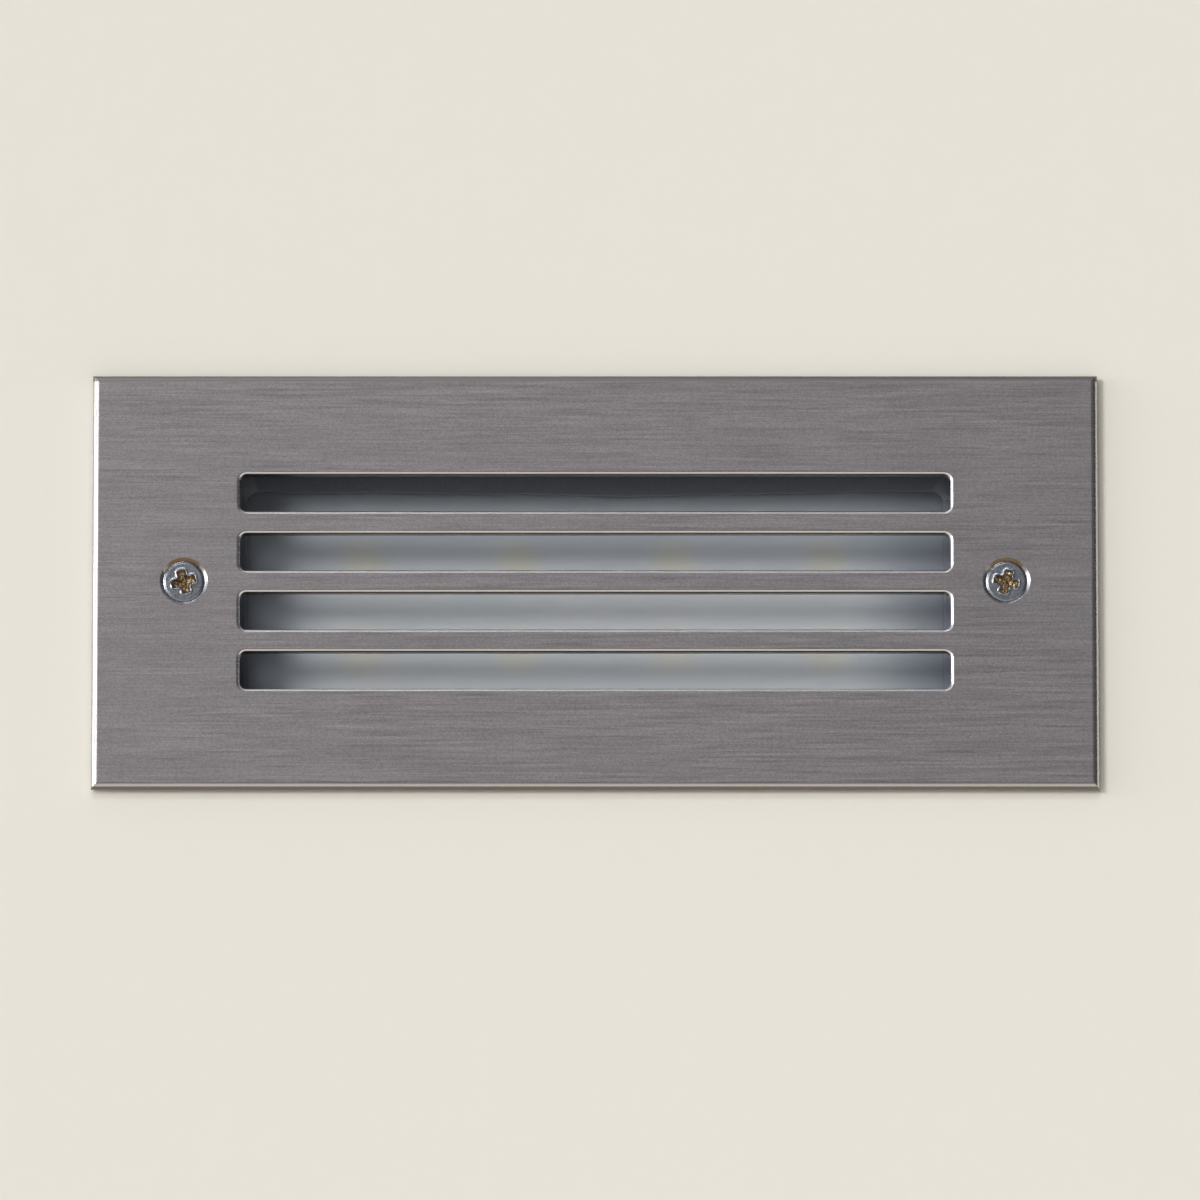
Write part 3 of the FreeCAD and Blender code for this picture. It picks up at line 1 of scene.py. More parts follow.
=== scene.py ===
"""Looks of the recessed step light, dressed on its CAD frame.

Metres, in the frame of the CAD model: the wall is the plane y = 0, the louvres face -Y and +Z is up.
Most pieces are the frame's own meshes with a material; the face screws and the glass seal are modelled here.
"""

import math

import bmesh
import bpy
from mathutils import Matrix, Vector, noise


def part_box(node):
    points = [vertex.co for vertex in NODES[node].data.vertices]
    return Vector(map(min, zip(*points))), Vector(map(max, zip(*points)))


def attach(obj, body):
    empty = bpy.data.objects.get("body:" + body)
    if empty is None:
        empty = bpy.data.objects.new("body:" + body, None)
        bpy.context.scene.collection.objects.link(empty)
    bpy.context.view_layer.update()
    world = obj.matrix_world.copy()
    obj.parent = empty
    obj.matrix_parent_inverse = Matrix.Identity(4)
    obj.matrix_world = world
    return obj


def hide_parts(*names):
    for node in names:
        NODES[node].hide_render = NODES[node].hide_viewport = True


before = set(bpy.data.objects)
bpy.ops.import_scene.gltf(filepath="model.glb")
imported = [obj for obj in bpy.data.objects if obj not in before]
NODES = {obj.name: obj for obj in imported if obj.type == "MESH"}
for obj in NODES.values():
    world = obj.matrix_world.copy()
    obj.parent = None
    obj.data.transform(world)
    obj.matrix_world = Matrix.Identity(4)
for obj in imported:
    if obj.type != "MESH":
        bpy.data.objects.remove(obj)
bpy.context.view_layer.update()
MM = 0.001


# ---------------------------------------------------------------- node helpers

NOISE_SPAN = (0.3, 0.7)     # nearly all values of a noise lie in here


class Graph:
    """Short calls that add nodes to a node tree."""

    def __init__(self, tree):
        self.tree = tree

    def add(self, kind, **settings):
        node = self.tree.nodes.new(kind)
        for name, value in settings.items():
            setattr(node, name, value)
        return node

    def link(self, source, target):
        self.tree.links.new(source, target)

    def feed(self, socket, value):
        """Give a socket a number, a colour or another node's output."""
        if isinstance(value, (int, float)):
            socket.default_value = value
        elif isinstance(value, tuple):
            socket.default_value = (*value, 1.0)
        else:
            self.link(value, socket)

    def place(self, scale=1, turn=(0, 0, 0), shift=(0, 0, 0)):
        """A point's place in its object, in units of one over the scale of each axis, turned and shifted."""
        mapping = self.add("ShaderNodeMapping")
        mapping.inputs["Location"].default_value = shift
        mapping.inputs["Rotation"].default_value = turn
        mapping.inputs["Scale"].default_value = scale if isinstance(scale, tuple) else (scale,) * 3
        self.link(self.add("ShaderNodeTexCoord").outputs["Object"], mapping.inputs["Vector"])
        return mapping.outputs["Vector"]

    def axes(self, vector=None):
        """The X, Y and Z of a vector, or of the point's place in its object."""
        node = self.add("ShaderNodeSeparateXYZ")
        self.link(self.place() if vector is None else vector, node.inputs[0])
        return node.outputs

    def noise(self, vector, detail=3.0, roughness=0.55, distortion=0.0):
        """Noise whose lumps are about one unit of the vector."""
        node = self.add("ShaderNodeTexNoise")
        node.inputs["Scale"].default_value = 1.0
        node.inputs["Detail"].default_value = detail
        node.inputs["Roughness"].default_value = roughness
        node.inputs["Distortion"].default_value = distortion
        self.link(vector, node.inputs["Vector"])
        return node.outputs["Fac"]

    def ramp(self, factor, low, high, from_low=0.0, from_high=1.0):
        """Map a factor's range smoothly to another range."""
        node = self.add("ShaderNodeMapRange", interpolation_type="SMOOTHSTEP")
        node.inputs["From Min"].default_value = from_low
        node.inputs["From Max"].default_value = from_high
        node.inputs["To Min"].default_value = low
        node.inputs["To Max"].default_value = high
        self.link(factor, node.inputs["Value"])
        return node.outputs["Result"]

    def vary(self, pattern, low, high):
        """Spread a noise over a range."""
        return self.ramp(pattern, low, high, *NOISE_SPAN)

    def math(self, operation, first, second=None):
        node = self.add("ShaderNodeMath", operation=operation)
        self.feed(node.inputs[0], first)
        if second is not None:
            self.feed(node.inputs[1], second)
        return node.outputs["Value"]

    def times(self, *factors):
        """The product of several factors."""
        product = factors[0]
        for factor in factors[1:]:
            product = self.math("MULTIPLY", product, factor)
        return product

    def reach(self, first, second):
        """How long a vector with these two parts is."""
        squares = self.math("ADD", self.math("POWER", first, 2.0), self.math("POWER", second, 2.0))
        return self.math("SQRT", squares)

    def mix(self, factor, first, second, blend="MIX"):
        """Mix two colours; each may be a colour or a socket."""
        node = self.add("ShaderNodeMix", data_type="RGBA", blend_type=blend)
        for socket, value in ((node.inputs[0], factor), (node.inputs[6], first), (node.inputs[7], second)):
            self.feed(socket, value)
        return node.outputs[2]

    def tint(self, colour, by):
        return self.mix(1.0, colour, by, "MULTIPLY")

    def patches(self, pattern, first, second, start=0.35, full=0.7, most=1.0):
        """A colour that turns to a second one where a noise is high, between two of its values."""
        return self.mix(self.ramp(pattern, 0.0, most, start, full), first, second)

    def bump(self, height, distance, strength, below=None):
        """A bump whose full height is the distance, in metres, on top of another one."""
        node = self.add("ShaderNodeBump")
        node.inputs["Strength"].default_value = strength
        node.inputs["Distance"].default_value = distance
        self.link(height, node.inputs["Height"])
        if below is not None:
            self.link(below, node.inputs["Normal"])
        return node.outputs["Normal"]


class Material(Graph):
    """A new material and its tree."""

    def __init__(self, name):
        self.material = bpy.data.materials.new(name)
        self.material.use_nodes = True
        super().__init__(self.material.node_tree)
        self.tree.nodes.clear()
        self.output = self.add("ShaderNodeOutputMaterial")

    def show(self, shader):
        """Make a shader the material's surface."""
        self.link(shader, self.output.inputs["Surface"])
        return self.material

    def shader(self, colour, roughness, metallic, normal, tangent=None, **constants):
        """One Principled shader as the surface; constants are set on its own sockets."""
        node = self.add("ShaderNodeBsdfPrincipled")
        node.inputs["Metallic"].default_value = metallic
        self.feed(node.inputs["Base Color"], colour)
        self.feed(node.inputs["Roughness"], roughness)
        self.feed(node.inputs["Normal"], normal)
        if tangent is not None:
            self.feed(node.inputs["Tangent"], tangent)
        for name, value in constants.items():
            node.inputs[name.replace("_", " ")].default_value = value
        return self.show(node.outputs["BSDF"])

    def blend(self, factor, first, second):
        """A shader that goes from one shader to another."""
        node = self.add("ShaderNodeMixShader")
        for socket, source in zip(node.inputs, (factor, first, second)):
            self.link(source, socket)
        return node.outputs[0]

    def one_way(self, front):
        """Show a shader on a surface's front and nothing on its back, so that views from behind see past."""
        back = self.add("ShaderNodeNewGeometry").outputs["Backfacing"]
        return self.show(self.blend(back, front, self.add("ShaderNodeBsdfTransparent").outputs[0]))


# ---------------------------------------------------------------- brushed steel

STEEL_DARK = (0.284, 0.267, 0.272)
STEEL_LIGHT = (0.394, 0.371, 0.377)
STEEL_PINK = (1.015, 0.988, 0.992)      # this and the next two tint what is below them
STEEL_SPECK = (0.80, 0.80, 0.81)
STEEL_CLOUD = (0.96, 0.965, 0.97)
# the pressed edges are painted brighter than the face: painted highlights
STEEL_EDGE_HIGHLIGHT = (0.62, 0.60, 0.60)
STEEL_ROLL_HIGHLIGHT = (0.84, 0.82, 0.81)
STEEL_CREST_SHADE = (0.24, 0.225, 0.22)
STEEL_UNDER_SHADE = (0.176, 0.145, 0.128)
STEEL_SINK_REFLECTION = (0.21, 0.145, 0.09)

FLAT_FACING = (0.86, 0.998)             # how squarely a surface faces the front, from an edge to a flat
UNDER_FACING = (-0.84, -0.52)           # how far down a face must point to take the painted shade under the rim
SINK_FACING = (-0.6, -0.2)              # how far down the part of a countersink with a painted brown reflection faces
SLOTS_SIDE = (83.5 * MM, 85.5 * MM)     # the edges of the slots lie within these
SLOTS_TOP = (30 * MM, 34 * MM)
CREST = (46.5 * MM, 47 * MM)            # the plate's upper arris is rougher than its other edges and painted darker, a painted shade
CREST_DULLNESS = 0.25
SINK = (5.4 * MM, 5.6 * MM)             # the radius of a countersink
STEEL_RELIEF = 0.006 * MM


def brushed_steel():
    """Sheet steel with a fine straight brushing along X and smoother pressed edges; the edges are painted
    brighter as a painted highlight, the upper arris and undersides carry painted shade, and the countersinks
    a painted brown reflection.
    """
    g = Material("brushed_steel")
    grain = brushing(g)
    facing = g.axes(g.add("ShaderNodeNewGeometry").outputs["True Normal"])
    at = g.axes()
    flat = g.ramp(g.math("ABSOLUTE", facing["Y"]), 0.0, 1.0, *FLAT_FACING)
    crest = g.ramp(at["Z"], 0.0, 1.0, *CREST)
    edges = g.mix(flat, pressed_edges(g, at), brushed_tone(g, grain))
    # faces that point down are painted darker and browner, a painted shade under the rim
    under_shaded = g.mix(g.ramp(facing["Z"], 1.0, 0.0, *UNDER_FACING), edges, STEEL_UNDER_SHADE)
    down = g.ramp(facing["Z"], 1.0, 0.0, *SINK_FACING)
    # the walls of a countersink that face down are painted brown, a painted reflection
    brown_mask = g.times(near_screw(g, *SINK), down, g.math("SUBTRACT", 1.0, flat))
    # painted shade on the upper arris and a painted brown reflection in the countersinks
    colour = g.mix(brown_mask, g.mix(crest, under_shaded, STEEL_CREST_SHADE), STEEL_SINK_REFLECTION)
    gloss = g.math("ADD", g.vary(grain, 0.32, 0.42), g.ramp(flat, -0.12, 0.0))
    roughness = g.math("ADD", gloss, g.times(crest, CREST_DULLNESS))
    bumped = g.bump(g.times(grain, flat), STEEL_RELIEF, 0.5)
    tangent = g.add("ShaderNodeTangent", direction_type="RADIAL", axis="Z").outputs["Tangent"]
    return g.shader(colour, roughness, 1.0, bumped, tangent, Anisotropic=0.55, Anisotropic_Rotation=0.25)


def brushing(g):
    """The brushing's height: fine hairs over longer lines."""
    fine = g.noise(g.place((90, 900, 5600)), 3, 0.6)
    lines = g.noise(g.place((44, 500, 2700), shift=(3.7, 0, 1.3)), 2, 0.6)
    return g.math("ADD", g.times(fine, 0.5), g.times(lines, 0.5))


def brushed_tone(g, grain):
    """The colour of the flat face: dark and light hairs, pinkish streaks, specks and faint clouds."""
    streaks = g.noise(g.place((22, 60, 1300), shift=(0.4, 0, 5.1)), 2, 0.4)
    speck = g.noise(g.place((2100, 2100, 3000)), 2, 0.7)
    cloud = g.noise(g.place((14, 14, 26), shift=(1.9, 0, 0.6)), 2)
    hairs = g.patches(grain, STEEL_DARK, STEEL_LIGHT, 0.28, 0.72)
    streaked = g.patches(streaks, hairs, g.tint(hairs, STEEL_PINK), 0.3, 0.72)
    specked = g.patches(speck, g.tint(streaked, STEEL_SPECK), streaked, 0.35, 0.65)
    return g.patches(cloud, specked, g.tint(specked, STEEL_CLOUD), most=0.6)


def pressed_edges(g, at):
    """The colour of the edges, painted brighter than the face as a painted highlight; the rolled ones of the
    slots are painted brighter than the rim.
    """
    beside = g.ramp(g.math("ABSOLUTE", at["X"]), 1.0, 0.0, *SLOTS_SIDE)
    within = g.ramp(g.math("ABSOLUTE", at["Z"]), 1.0, 0.0, *SLOTS_TOP)
    return g.mix(g.times(beside, within), STEEL_EDGE_HIGHLIGHT, STEEL_ROLL_HIGHLIGHT)


def near_screw(g, inner, outer):
    """One round the axes of the face screws, falling to zero between two radii."""
    low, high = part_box("face_screws")
    at = g.axes()
    along = g.math("SUBTRACT", g.math("ABSOLUTE", at["X"]), (high.x - low.x) / 2 - (high.z - low.z) / 2)
    return g.ramp(g.reach(along, at["Z"]), 1.0, 0.0, inner, outer)


# ---------------------------------------------------------------- other metals

PLATE_MARKS = (0.6, 0.6, 0.62)
RECESS_REACH = (2.7 * MM, 3.0 * MM)     # the radius within which the cross recesses lie


def plated_steel(name, colour, warm, roughness=0.22, spotted=0.75, recess=None):
    """Plated screws: turning marks, knocks, brown spots and, below a level if given, recesses painted brown,
    a painted reflection.
    """
    g = Material(name)
    turning = g.noise(g.place(2600), 3, 0.6)
    spots = g.noise(g.place(900), 4, 0.7)
    scratches = g.noise(g.place((500, 4200, 5200), turn=(0.4, 0.9, 0.3)), 2)
    brown_mask = g.ramp(spots, 0.0, spotted, 0.52, 0.66)
    # below the level, the cross recess is painted brown, a painted reflection
    if recess is not None:
        deep = g.ramp(g.axes()["Y"], 0.0, 1.0, recess, recess + 0.5 * MM)
        brown_mask = g.math("MAXIMUM", brown_mask, g.times(deep, near_screw(g, *RECESS_REACH)))
    tone = g.mix(brown_mask, colour, warm)
    marked = g.patches(turning, tone, g.tint(tone, PLATE_MARKS), most=0.35)
    rough = g.math("ADD", g.vary(turning, -0.05, 0.08), g.ramp(spots, roughness, roughness + 0.16))
    normal = g.bump(scratches, 0.012 * MM, 0.5, g.bump(spots, 0.03 * MM, 0.6))
    return g.shader(marked, rough, 1.0, normal)


def cast_aluminium():
    """Die-cast body: blasted, with a slight orange peel and flow marks."""
    g = Material("cast_aluminium")
    peel = g.noise(g.place(1600), 3, 0.6)
    flow = g.noise(g.place((40, 70, 40)), 4, 0.55, 1.2)
    colour = g.patches(flow, (0.50, 0.50, 0.505), (0.60, 0.60, 0.60))
    rough = g.math("ADD", g.ramp(peel, 0.38, 0.50), g.vary(flow, 0.0, 0.08))
    return g.shader(colour, rough, 0.9, g.bump(peel, 0.05 * MM, 0.6))


def turned_brass():
    """Brass with turning marks round Y and darker stains."""
    g = Material("turned_brass")
    marks = g.noise(g.place((900, 6000, 900)), 2)
    stain = g.noise(g.place(260), 3)
    colour = g.patches(stain, (0.78, 0.60, 0.28), (0.62, 0.45, 0.19))
    return g.shader(colour, g.vary(marks, 0.2, 0.36), 1.0, g.bump(marks, 0.01 * MM, 0.6))


def powder_coat(name, colour):
    """Satin powder coat: fine orange peel and dust."""
    g = Material(name)
    peel = g.noise(g.place(700), 2)
    dust = g.noise(g.place(4200), 2)
    tone = g.patches(dust, scaled(colour, 0.82), colour)
    return g.shader(tone, g.vary(peel, 0.37, 0.48), 0.0, g.bump(peel, 0.04 * MM, 0.5))


def scaled(colour, factor, lift=0.0):
    """A darker or lighter colour, up to white."""
    return tuple(min(1.0, channel * factor + lift) for channel in colour)


# ---------------------------------------------------------------- plastics and rubber

def moulded_plastic(name, colour, roughness=0.5, texture=1800, depth=0.03):
    """Moulded plastic: spark texture of a depth in millimetres, uneven gloss and pale scuffs."""
    g = Material(name)
    spark = g.noise(g.place(texture), 3, 0.65)
    sink = g.noise(g.place(24), 2)
    scuff = g.noise(g.place((180, 420, 180)), 4, 0.6)
    mottled = g.patches(spark, scaled(colour, 0.78), colour, *NOISE_SPAN)
    tone = g.patches(scuff, mottled, scaled(colour, 1.12, 0.004), 0.55, 0.75, 0.6)
    gloss = g.vary(sink, roughness - 0.05, roughness + 0.05)
    rough = g.math("ADD", gloss, g.ramp(scuff, 0.0, 0.06, 0.5, 0.7))
    return g.shader(tone, rough, 0.0, g.bump(spark, depth * MM, 0.6))


def lead_skin(name, colour):
    """The smooth insulation of a lead."""
    return moulded_plastic(name, colour, 0.38, 900, 0.012)


def rubber(name, colour, roughness=0.62, pores=1500, depth=0.03):
    """Rubber with a grain of a depth in millimetres and a pale bloom."""
    g = Material(name)
    grain = g.noise(g.place(pores), 4, 0.7)
    bloom = g.noise(g.place(120), 3)
    tone = g.patches(bloom, colour, scaled(colour, 1.5, 0.012), 0.45, 0.75, 0.55)
    rough = g.vary(grain, roughness - 0.1, roughness + 0.1)
    return g.shader(tone, rough, 0.0, g.bump(grain, depth * MM, 0.7))


def foam():
    """Closed-cell foam: open pores on its cut edges."""
    g = Material("gasket_foam")
    cells = g.add("ShaderNodeTexVoronoi")
    cells.inputs["Scale"].default_value = 1.0
    g.link(g.place(2400), cells.inputs["Vector"])
    pores = g.ramp(cells.outputs["Distance"], 0.0, 1.0, 0.1, 0.6)
    tone = g.mix(pores, (0.018, 0.018, 0.019), (0.05, 0.05, 0.052))
    return g.shader(tone, 0.85, 0.0, g.bump(pores, 0.12 * MM, 0.8))


def silicone():
    """Grey seal with a slight bloom and dust."""
    g = Material("seal_silicone")
    dust = g.noise(g.place(1100), 4, 0.7)
    wave = g.noise(g.place((45, 90, 200)), 2)
    tone = g.patches(dust, (0.205, 0.22, 0.26), (0.26, 0.275, 0.31), 0.45, 0.75, 0.6)
    return g.shader(tone, g.vary(wave, 0.38, 0.5), 0.0, g.bump(dust, 0.015 * MM, 0.5))


# ---------------------------------------------------------------- glass and light sources

GLASS_MILK = (0.76, 0.795, 0.835)
GLASS_BLUE = (0.72, 0.775, 0.825)
# the colour of the painted glow in front of the light sources
GLASS_GLOW = (0.88, 0.83, 0.63)
# the colour of the painted shade at the pane's ends and upper edge
GLASS_END_SHADE = (0.42, 0.43, 0.46)
GLASS_SCATTER = 9 * MM      # how far light spreads inside the etched pane
GLOW_RADIUS = 8.5 * MM
GLOW_MOST = 0.58
GLOW_DROP = 2.4 * MM        # how far below the light sources the painted glow spots sit, shifted as they show from the camera below
LED_COLUMNS = 4
PHOSPHOR_HALF = 2.0 * MM
END_SHADE_WIDTH = 24 * MM     # over how much of the pane the painted shade at each end fades, starting where the white tray behind ends
TOP_SHADE_DEPTH = 34 * MM        # and over how much below the pane's upper edge its painted shade fades


def frosted_glass():
    """Etched glass: milky and faintly blue, with painted shade at its ends and upper edge and a painted
    yellow glow at each light source.
    """
    g = Material("frosted_glass")
    etch = g.noise(g.place(2600), 3, 0.65)
    milk = g.noise(g.place((30, 30, 60)), 2)
    # a painted yellow glow in front of each light source
    lit = g.mix(painted_glow_spots(g), g.patches(milk, GLASS_MILK, GLASS_BLUE), GLASS_GLOW)
    # painted shade at the pane's ends and upper edge
    colour = g.mix(painted_shade_field(g), g.tint(lit, GLASS_END_SHADE), lit)
    return g.shader(colour, g.vary(etch, 0.42, 0.56), 0.0, g.bump(etch, 0.02 * MM, 0.4),
                    Specular_IOR_Level=0.3, IOR=1.47, Subsurface_Weight=1.0,
                    Subsurface_Scale=GLASS_SCATTER, Subsurface_Radius=(1.0, 1.0, 1.0))


def painted_shade_field(g):
    """One in the middle of the pane, falling to zero at its ends and lower at its upper edge; where it falls,
    the pane is painted with shade.
    """
    low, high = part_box("reflector_tray")
    at = g.axes()
    end = g.math("SUBTRACT", high.x, g.math("ABSOLUTE", at["X"]))
    top = g.math("SUBTRACT", high.z, at["Z"])
    return g.times(g.ramp(end, 0.0, 1.0, -0.1 * END_SHADE_WIDTH, END_SHADE_WIDTH),
                   g.ramp(top, 0.25, 1.0, 0.0, TOP_SHADE_DEPTH))


def painted_glow_spots(g):
    """A painted glow spot in front of each light source of the two rows."""
    low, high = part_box("led_phosphors")
    row = (high - low).z / 2 - PHOSPHOR_HALF
    span = (high - low).x / 2 - PHOSPHOR_HALF
    step = 2 * span / (LED_COLUMNS - 1)
    at = g.axes()
    shifted = g.math("ADD", at["X"], span + step / 2)
    along = g.math("SUBTRACT", g.math("MODULO", shifted, step), step / 2)
    upright = g.math("SUBTRACT", g.math("ABSOLUTE", g.math("ADD", at["Z"], GLOW_DROP)), row)
    return g.ramp(g.reach(along, upright), GLOW_MOST, 0.0, 0.0, GLOW_RADIUS)


def yellow_phosphor():
    """The grainy yellow filling of a light source."""
    g = Material("yellow_phosphor")
    grains = g.noise(g.place(5200), 2)
    tone = g.patches(grains, (0.90, 0.66, 0.10), (0.95, 0.78, 0.22), *NOISE_SPAN)
    return g.shader(tone, 0.35, 0.0, g.bump(grains, 0.01 * MM, 0.5))


def solder_mask():
    """White board with faint copper tracks under its mask."""
    g = Material("solder_mask")
    tracks = g.add("ShaderNodeTexBrick", offset=0.0)
    for name, value in (("Scale", 1.0), ("Mortar Size", 0.02), ("Brick Width", 1.0), ("Row Height", 0.55)):
        tracks.inputs[name].default_value = value
    g.link(g.place(28, turn=(math.pi / 2, 0, 0)), tracks.inputs["Vector"])
    gloss = g.noise(g.place(900), 2)
    tone = g.mix(tracks.outputs["Fac"], (0.84, 0.84, 0.82), (0.74, 0.77, 0.73))
    return g.shader(tone, g.vary(gloss, 0.3, 0.42), 0.0, g.bump(gloss, 0.01 * MM, 0.4))


# ---------------------------------------------------------------- helpers for meshes

PIECE_CREASE = 50       # degrees between two faces from which their edge is sharp
NODE_CREASE = 32


def crease(piece, degrees):
    """Smooth shading, with sharp edges above an angle."""
    bpy.context.view_layer.objects.active = piece
    for other in bpy.context.selected_objects:
        other.select_set(False)
    piece.select_set(True)
    bpy.ops.object.shade_smooth_by_angle(angle=math.radians(degrees))


def new_piece(name, bm, material, node):
    """A piece of the light, modelled here, that takes a CAD node's place."""
    bmesh.ops.recalc_face_normals(bm, faces=bm.faces)
    mesh = bpy.data.meshes.new(name)
    bm.to_mesh(mesh)
    bm.free()
    mesh.materials.append(material)
    piece = bpy.data.objects.new(name, mesh)
    bpy.context.scene.collection.objects.link(piece)
    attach(piece, "root")
    crease(piece, PIECE_CREASE)
    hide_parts(node)


def skin(bm, rows):
    """Faces between closed rows of vertices, each row joined to the next."""
    for here, there in zip(rows, rows[1:]):
        for k in range(len(here)):
            n = (k + 1) % len(here)
            bm.faces.new((here[k], there[k], there[n], here[n]))


def smoothstep(value):
    value = min(1.0, max(0.0, value))
    return value * value * (3 - 2 * value)


def soft_min(a, b, blend):
    """The smaller of two values, rounded where they meet."""
    mix = min(1.0, max(0.0, 0.5 + 0.5 * (b - a) / blend))
    return b * (1 - mix) + a * mix - blend * mix * (1 - mix)


# ---------------------------------------------------------------- face screws

CROSS_SPAN = 5.3 * MM
CROSS_WING = 1.40 * MM
CROSS_FLARE = 0.16 * MM     # how much each wing widens to its end, on each side
CROSS_NOSE = 0.42 * MM
CROSS_BLEND = 0.85 * MM
CROSS_DEPTH = 2.2 * MM
CROSS_WALL = 0.42 * MM      # how wide the slope into the recess is, seen from the front
CROSS_TURN = 15             # how far each cross stands off upright, in degrees
SLIP = 0.16 * MM            # how far a slipping driver has moved the cross's outline
LIP = 0.10 * MM             # the metal that it has pushed up round the cross
RIM_WEAR = 0.20 * MM
RIM_WIDTH = 0.48 * MM
WEAR_SEED = 0.6             # sets the two screws' wear apart
RECESS_REFLECTION_START = 0.12 * MM      # how far below the face the painted brown reflection in the recess starts
HEAD_RIM = 0.25 * MM
SHANK = 2.5 * MM
THREAD = 0.35 * MM
THREAD_PITCH = 0.8 * MM
SCREW_SEGMENTS = 112
HEAD_RINGS = 46
THREAD_RINGS = 4            # rings of points for each turn of the thread
NICKEL = (0.27, 0.29, 0.325)
# the brown of the spots, and of the painted reflection in the recesses
NICKEL_SPOTS_AND_REFLECTION = (0.38, 0.30, 0.205)


def face_screws():
    """The two plated screws, with worn crosses and real threads."""
    low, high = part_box("face_screws")
    radius = (high.z - low.z) / 2
    bm = bmesh.new()
    for side in (-1, 1):
        centre = Vector((side * ((high.x - low.x) / 2 - radius), low.y, (high.z + low.z) / 2))
        rings = head_rings(radius, side * WEAR_SEED, -side * math.radians(CROSS_TURN))
        rings += shank_rings(radius, high.y - low.y)
        hub = bm.verts.new(centre + Vector((0, rings[0][0][1], 0)))
        rows = [[bm.verts.new(centre + Vector(point)) for point in ring] for ring in rings[1:]]
        for k in range(SCREW_SEGMENTS):
            bm.faces.new((hub, rows[0][k], rows[0][(k + 1) % SCREW_SEGMENTS]))
        skin(bm, rows)
        bm.faces.new(rows[-1])
    plate = plated_steel("nickel_plate", NICKEL, NICKEL_SPOTS_AND_REFLECTION, 0.2, 0.3, low.y + RECESS_REFLECTION_START)
    new_piece("plated_face_screws", bm, plate, "face_screws")


def head_rings(radius, seed, turn):
    """Rings of points from the middle of the head's face to its rim."""
    rings = []
    for step in range(HEAD_RINGS + 1):
        r = radius * step / HEAD_RINGS
        ring = []
        for k in range(SCREW_SEGMENTS):
            angle = 2 * math.pi * k / SCREW_SEGMENTS
            x, z = r * math.cos(angle), r * math.sin(angle)
            u = x * math.cos(turn) + z * math.sin(turn)
            v = z * math.cos(turn) - x * math.sin(turn)
            ring.append((x, head_level(u, v, radius, seed), z))
        rings.append(ring)
    return rings


def head_level(x, y, radius, seed):
    """How far the head's face lies behind its plane: worn rim, raised burrs and the cross recess."""
    distance = cross_distance(x, y) + SLIP * wear(x, y, seed * 5, 1300)
    wall = smoothstep(0.5 - distance / CROSS_WALL)
    spread = math.hypot(x, y) / (CROSS_SPAN / 2)
    depth = CROSS_DEPTH * max(0.22, 1.0 - 0.62 * spread ** 1.4)
    uneven = 1.0 + 0.35 * wear(x, y, seed * 3, 1700)
    lip = LIP * math.exp(-((distance - 0.30 * MM) / (0.19 * MM)) ** 2)
    burr = lip * max(0.0, 1.0 + 1.6 * wear(x, y, seed * 9, 900))
    worn = RIM_WEAR * smoothstep((math.hypot(x, y) - radius + RIM_WIDTH) / RIM_WIDTH)
    return depth * wall * uneven + worn - burr


def wear(x, y, layer, scale):
    """Noise from -1 to 1 at a point of a screw's face; each layer, in millimetres, is another pattern."""
    return noise.noise(Vector((x, y, layer * MM)) * scale)


def cross_distance(x, y):
    """Distance outside (positive) or inside (negative) the rounded outline of the driver cross."""
    wings = []
    for a, b in ((x, y), (y, x)):
        half_wing = CROSS_WING / 2 + CROSS_FLARE * (abs(a) / (CROSS_SPAN / 2)) ** 2
        dx, dy = abs(a) - (CROSS_SPAN / 2 - CROSS_NOSE), abs(b) - (half_wing - CROSS_NOSE)
        outside = math.hypot(max(dx, 0.0), max(dy, 0.0))
        wings.append(outside + min(max(dx, dy), 0.0) - CROSS_NOSE)
    return soft_min(*wings, CROSS_BLEND)


def shank_rings(radius, length):
    """Rings of points down the rim and the cone of the head and along the thread, to the tip."""
    cone = HEAD_RIM + radius - SHANK
    rings = [round_ring(y, lambda turn: r) for r, y in ((radius, HEAD_RIM), (SHANK, cone))]
    count = int((length - cone) / THREAD_PITCH * THREAD_RINGS)
    for step in range(1, count + 1):
        y = cone + (length - cone) * step / count
        rings.append(round_ring(y, lambda turn: thread_radius(y - cone, length - y, turn)))
    return rings


def round_ring(y, radius_at):
    """A ring of points round the screw's axis; its radius may change with the share of a turn."""
    ring = []
    for k in range(SCREW_SEGMENTS):
        angle = 2 * math.pi * k / SCREW_SEGMENTS
        r = radius_at(k / SCREW_SEGMENTS)
        ring.append((r * math.cos(angle), y, r * math.sin(angle)))
    return ring


def thread_radius(done, left, turn):
    """The thread's radius at a share of a turn, done below its start; it runs out at both ends."""
    phase = (done / THREAD_PITCH - turn) % 1.0
    ends = min(1.0, done / THREAD_PITCH, left / THREAD_PITCH)
    return SHANK - THREAD * max(0.0, ends) * abs(2 * phase - 1)


# ---------------------------------------------------------------- glass seal

SEAL_WALL = 2 * MM
SEAL_COVER_X = 2.0 * MM     # how far the lips reach over the glass at its ends
SEAL_COVER_Z = 3.1 * MM     # and at its long sides
SEAL_CORNERS = {"outer": 5.0 * MM, "inner": 3.0 * MM, "groove": 3.2 * MM}
GROOVE_GAP = 0.2 * MM
LIP_CHAMFER = 0.18 * MM
EDGE_CHAMFER = 0.15 * MM
CORNER_STEPS = 8
LONG_STEPS = 120
SHORT_STEPS = 24
BELLY = 1.0 * MM                                        # how far the upper lip hangs in its middle
RIPPLES = ((0.26 * MM, 5.5, 0.9), (0.14 * MM, 13.0, 0.4))   # height, pace and start of its waves


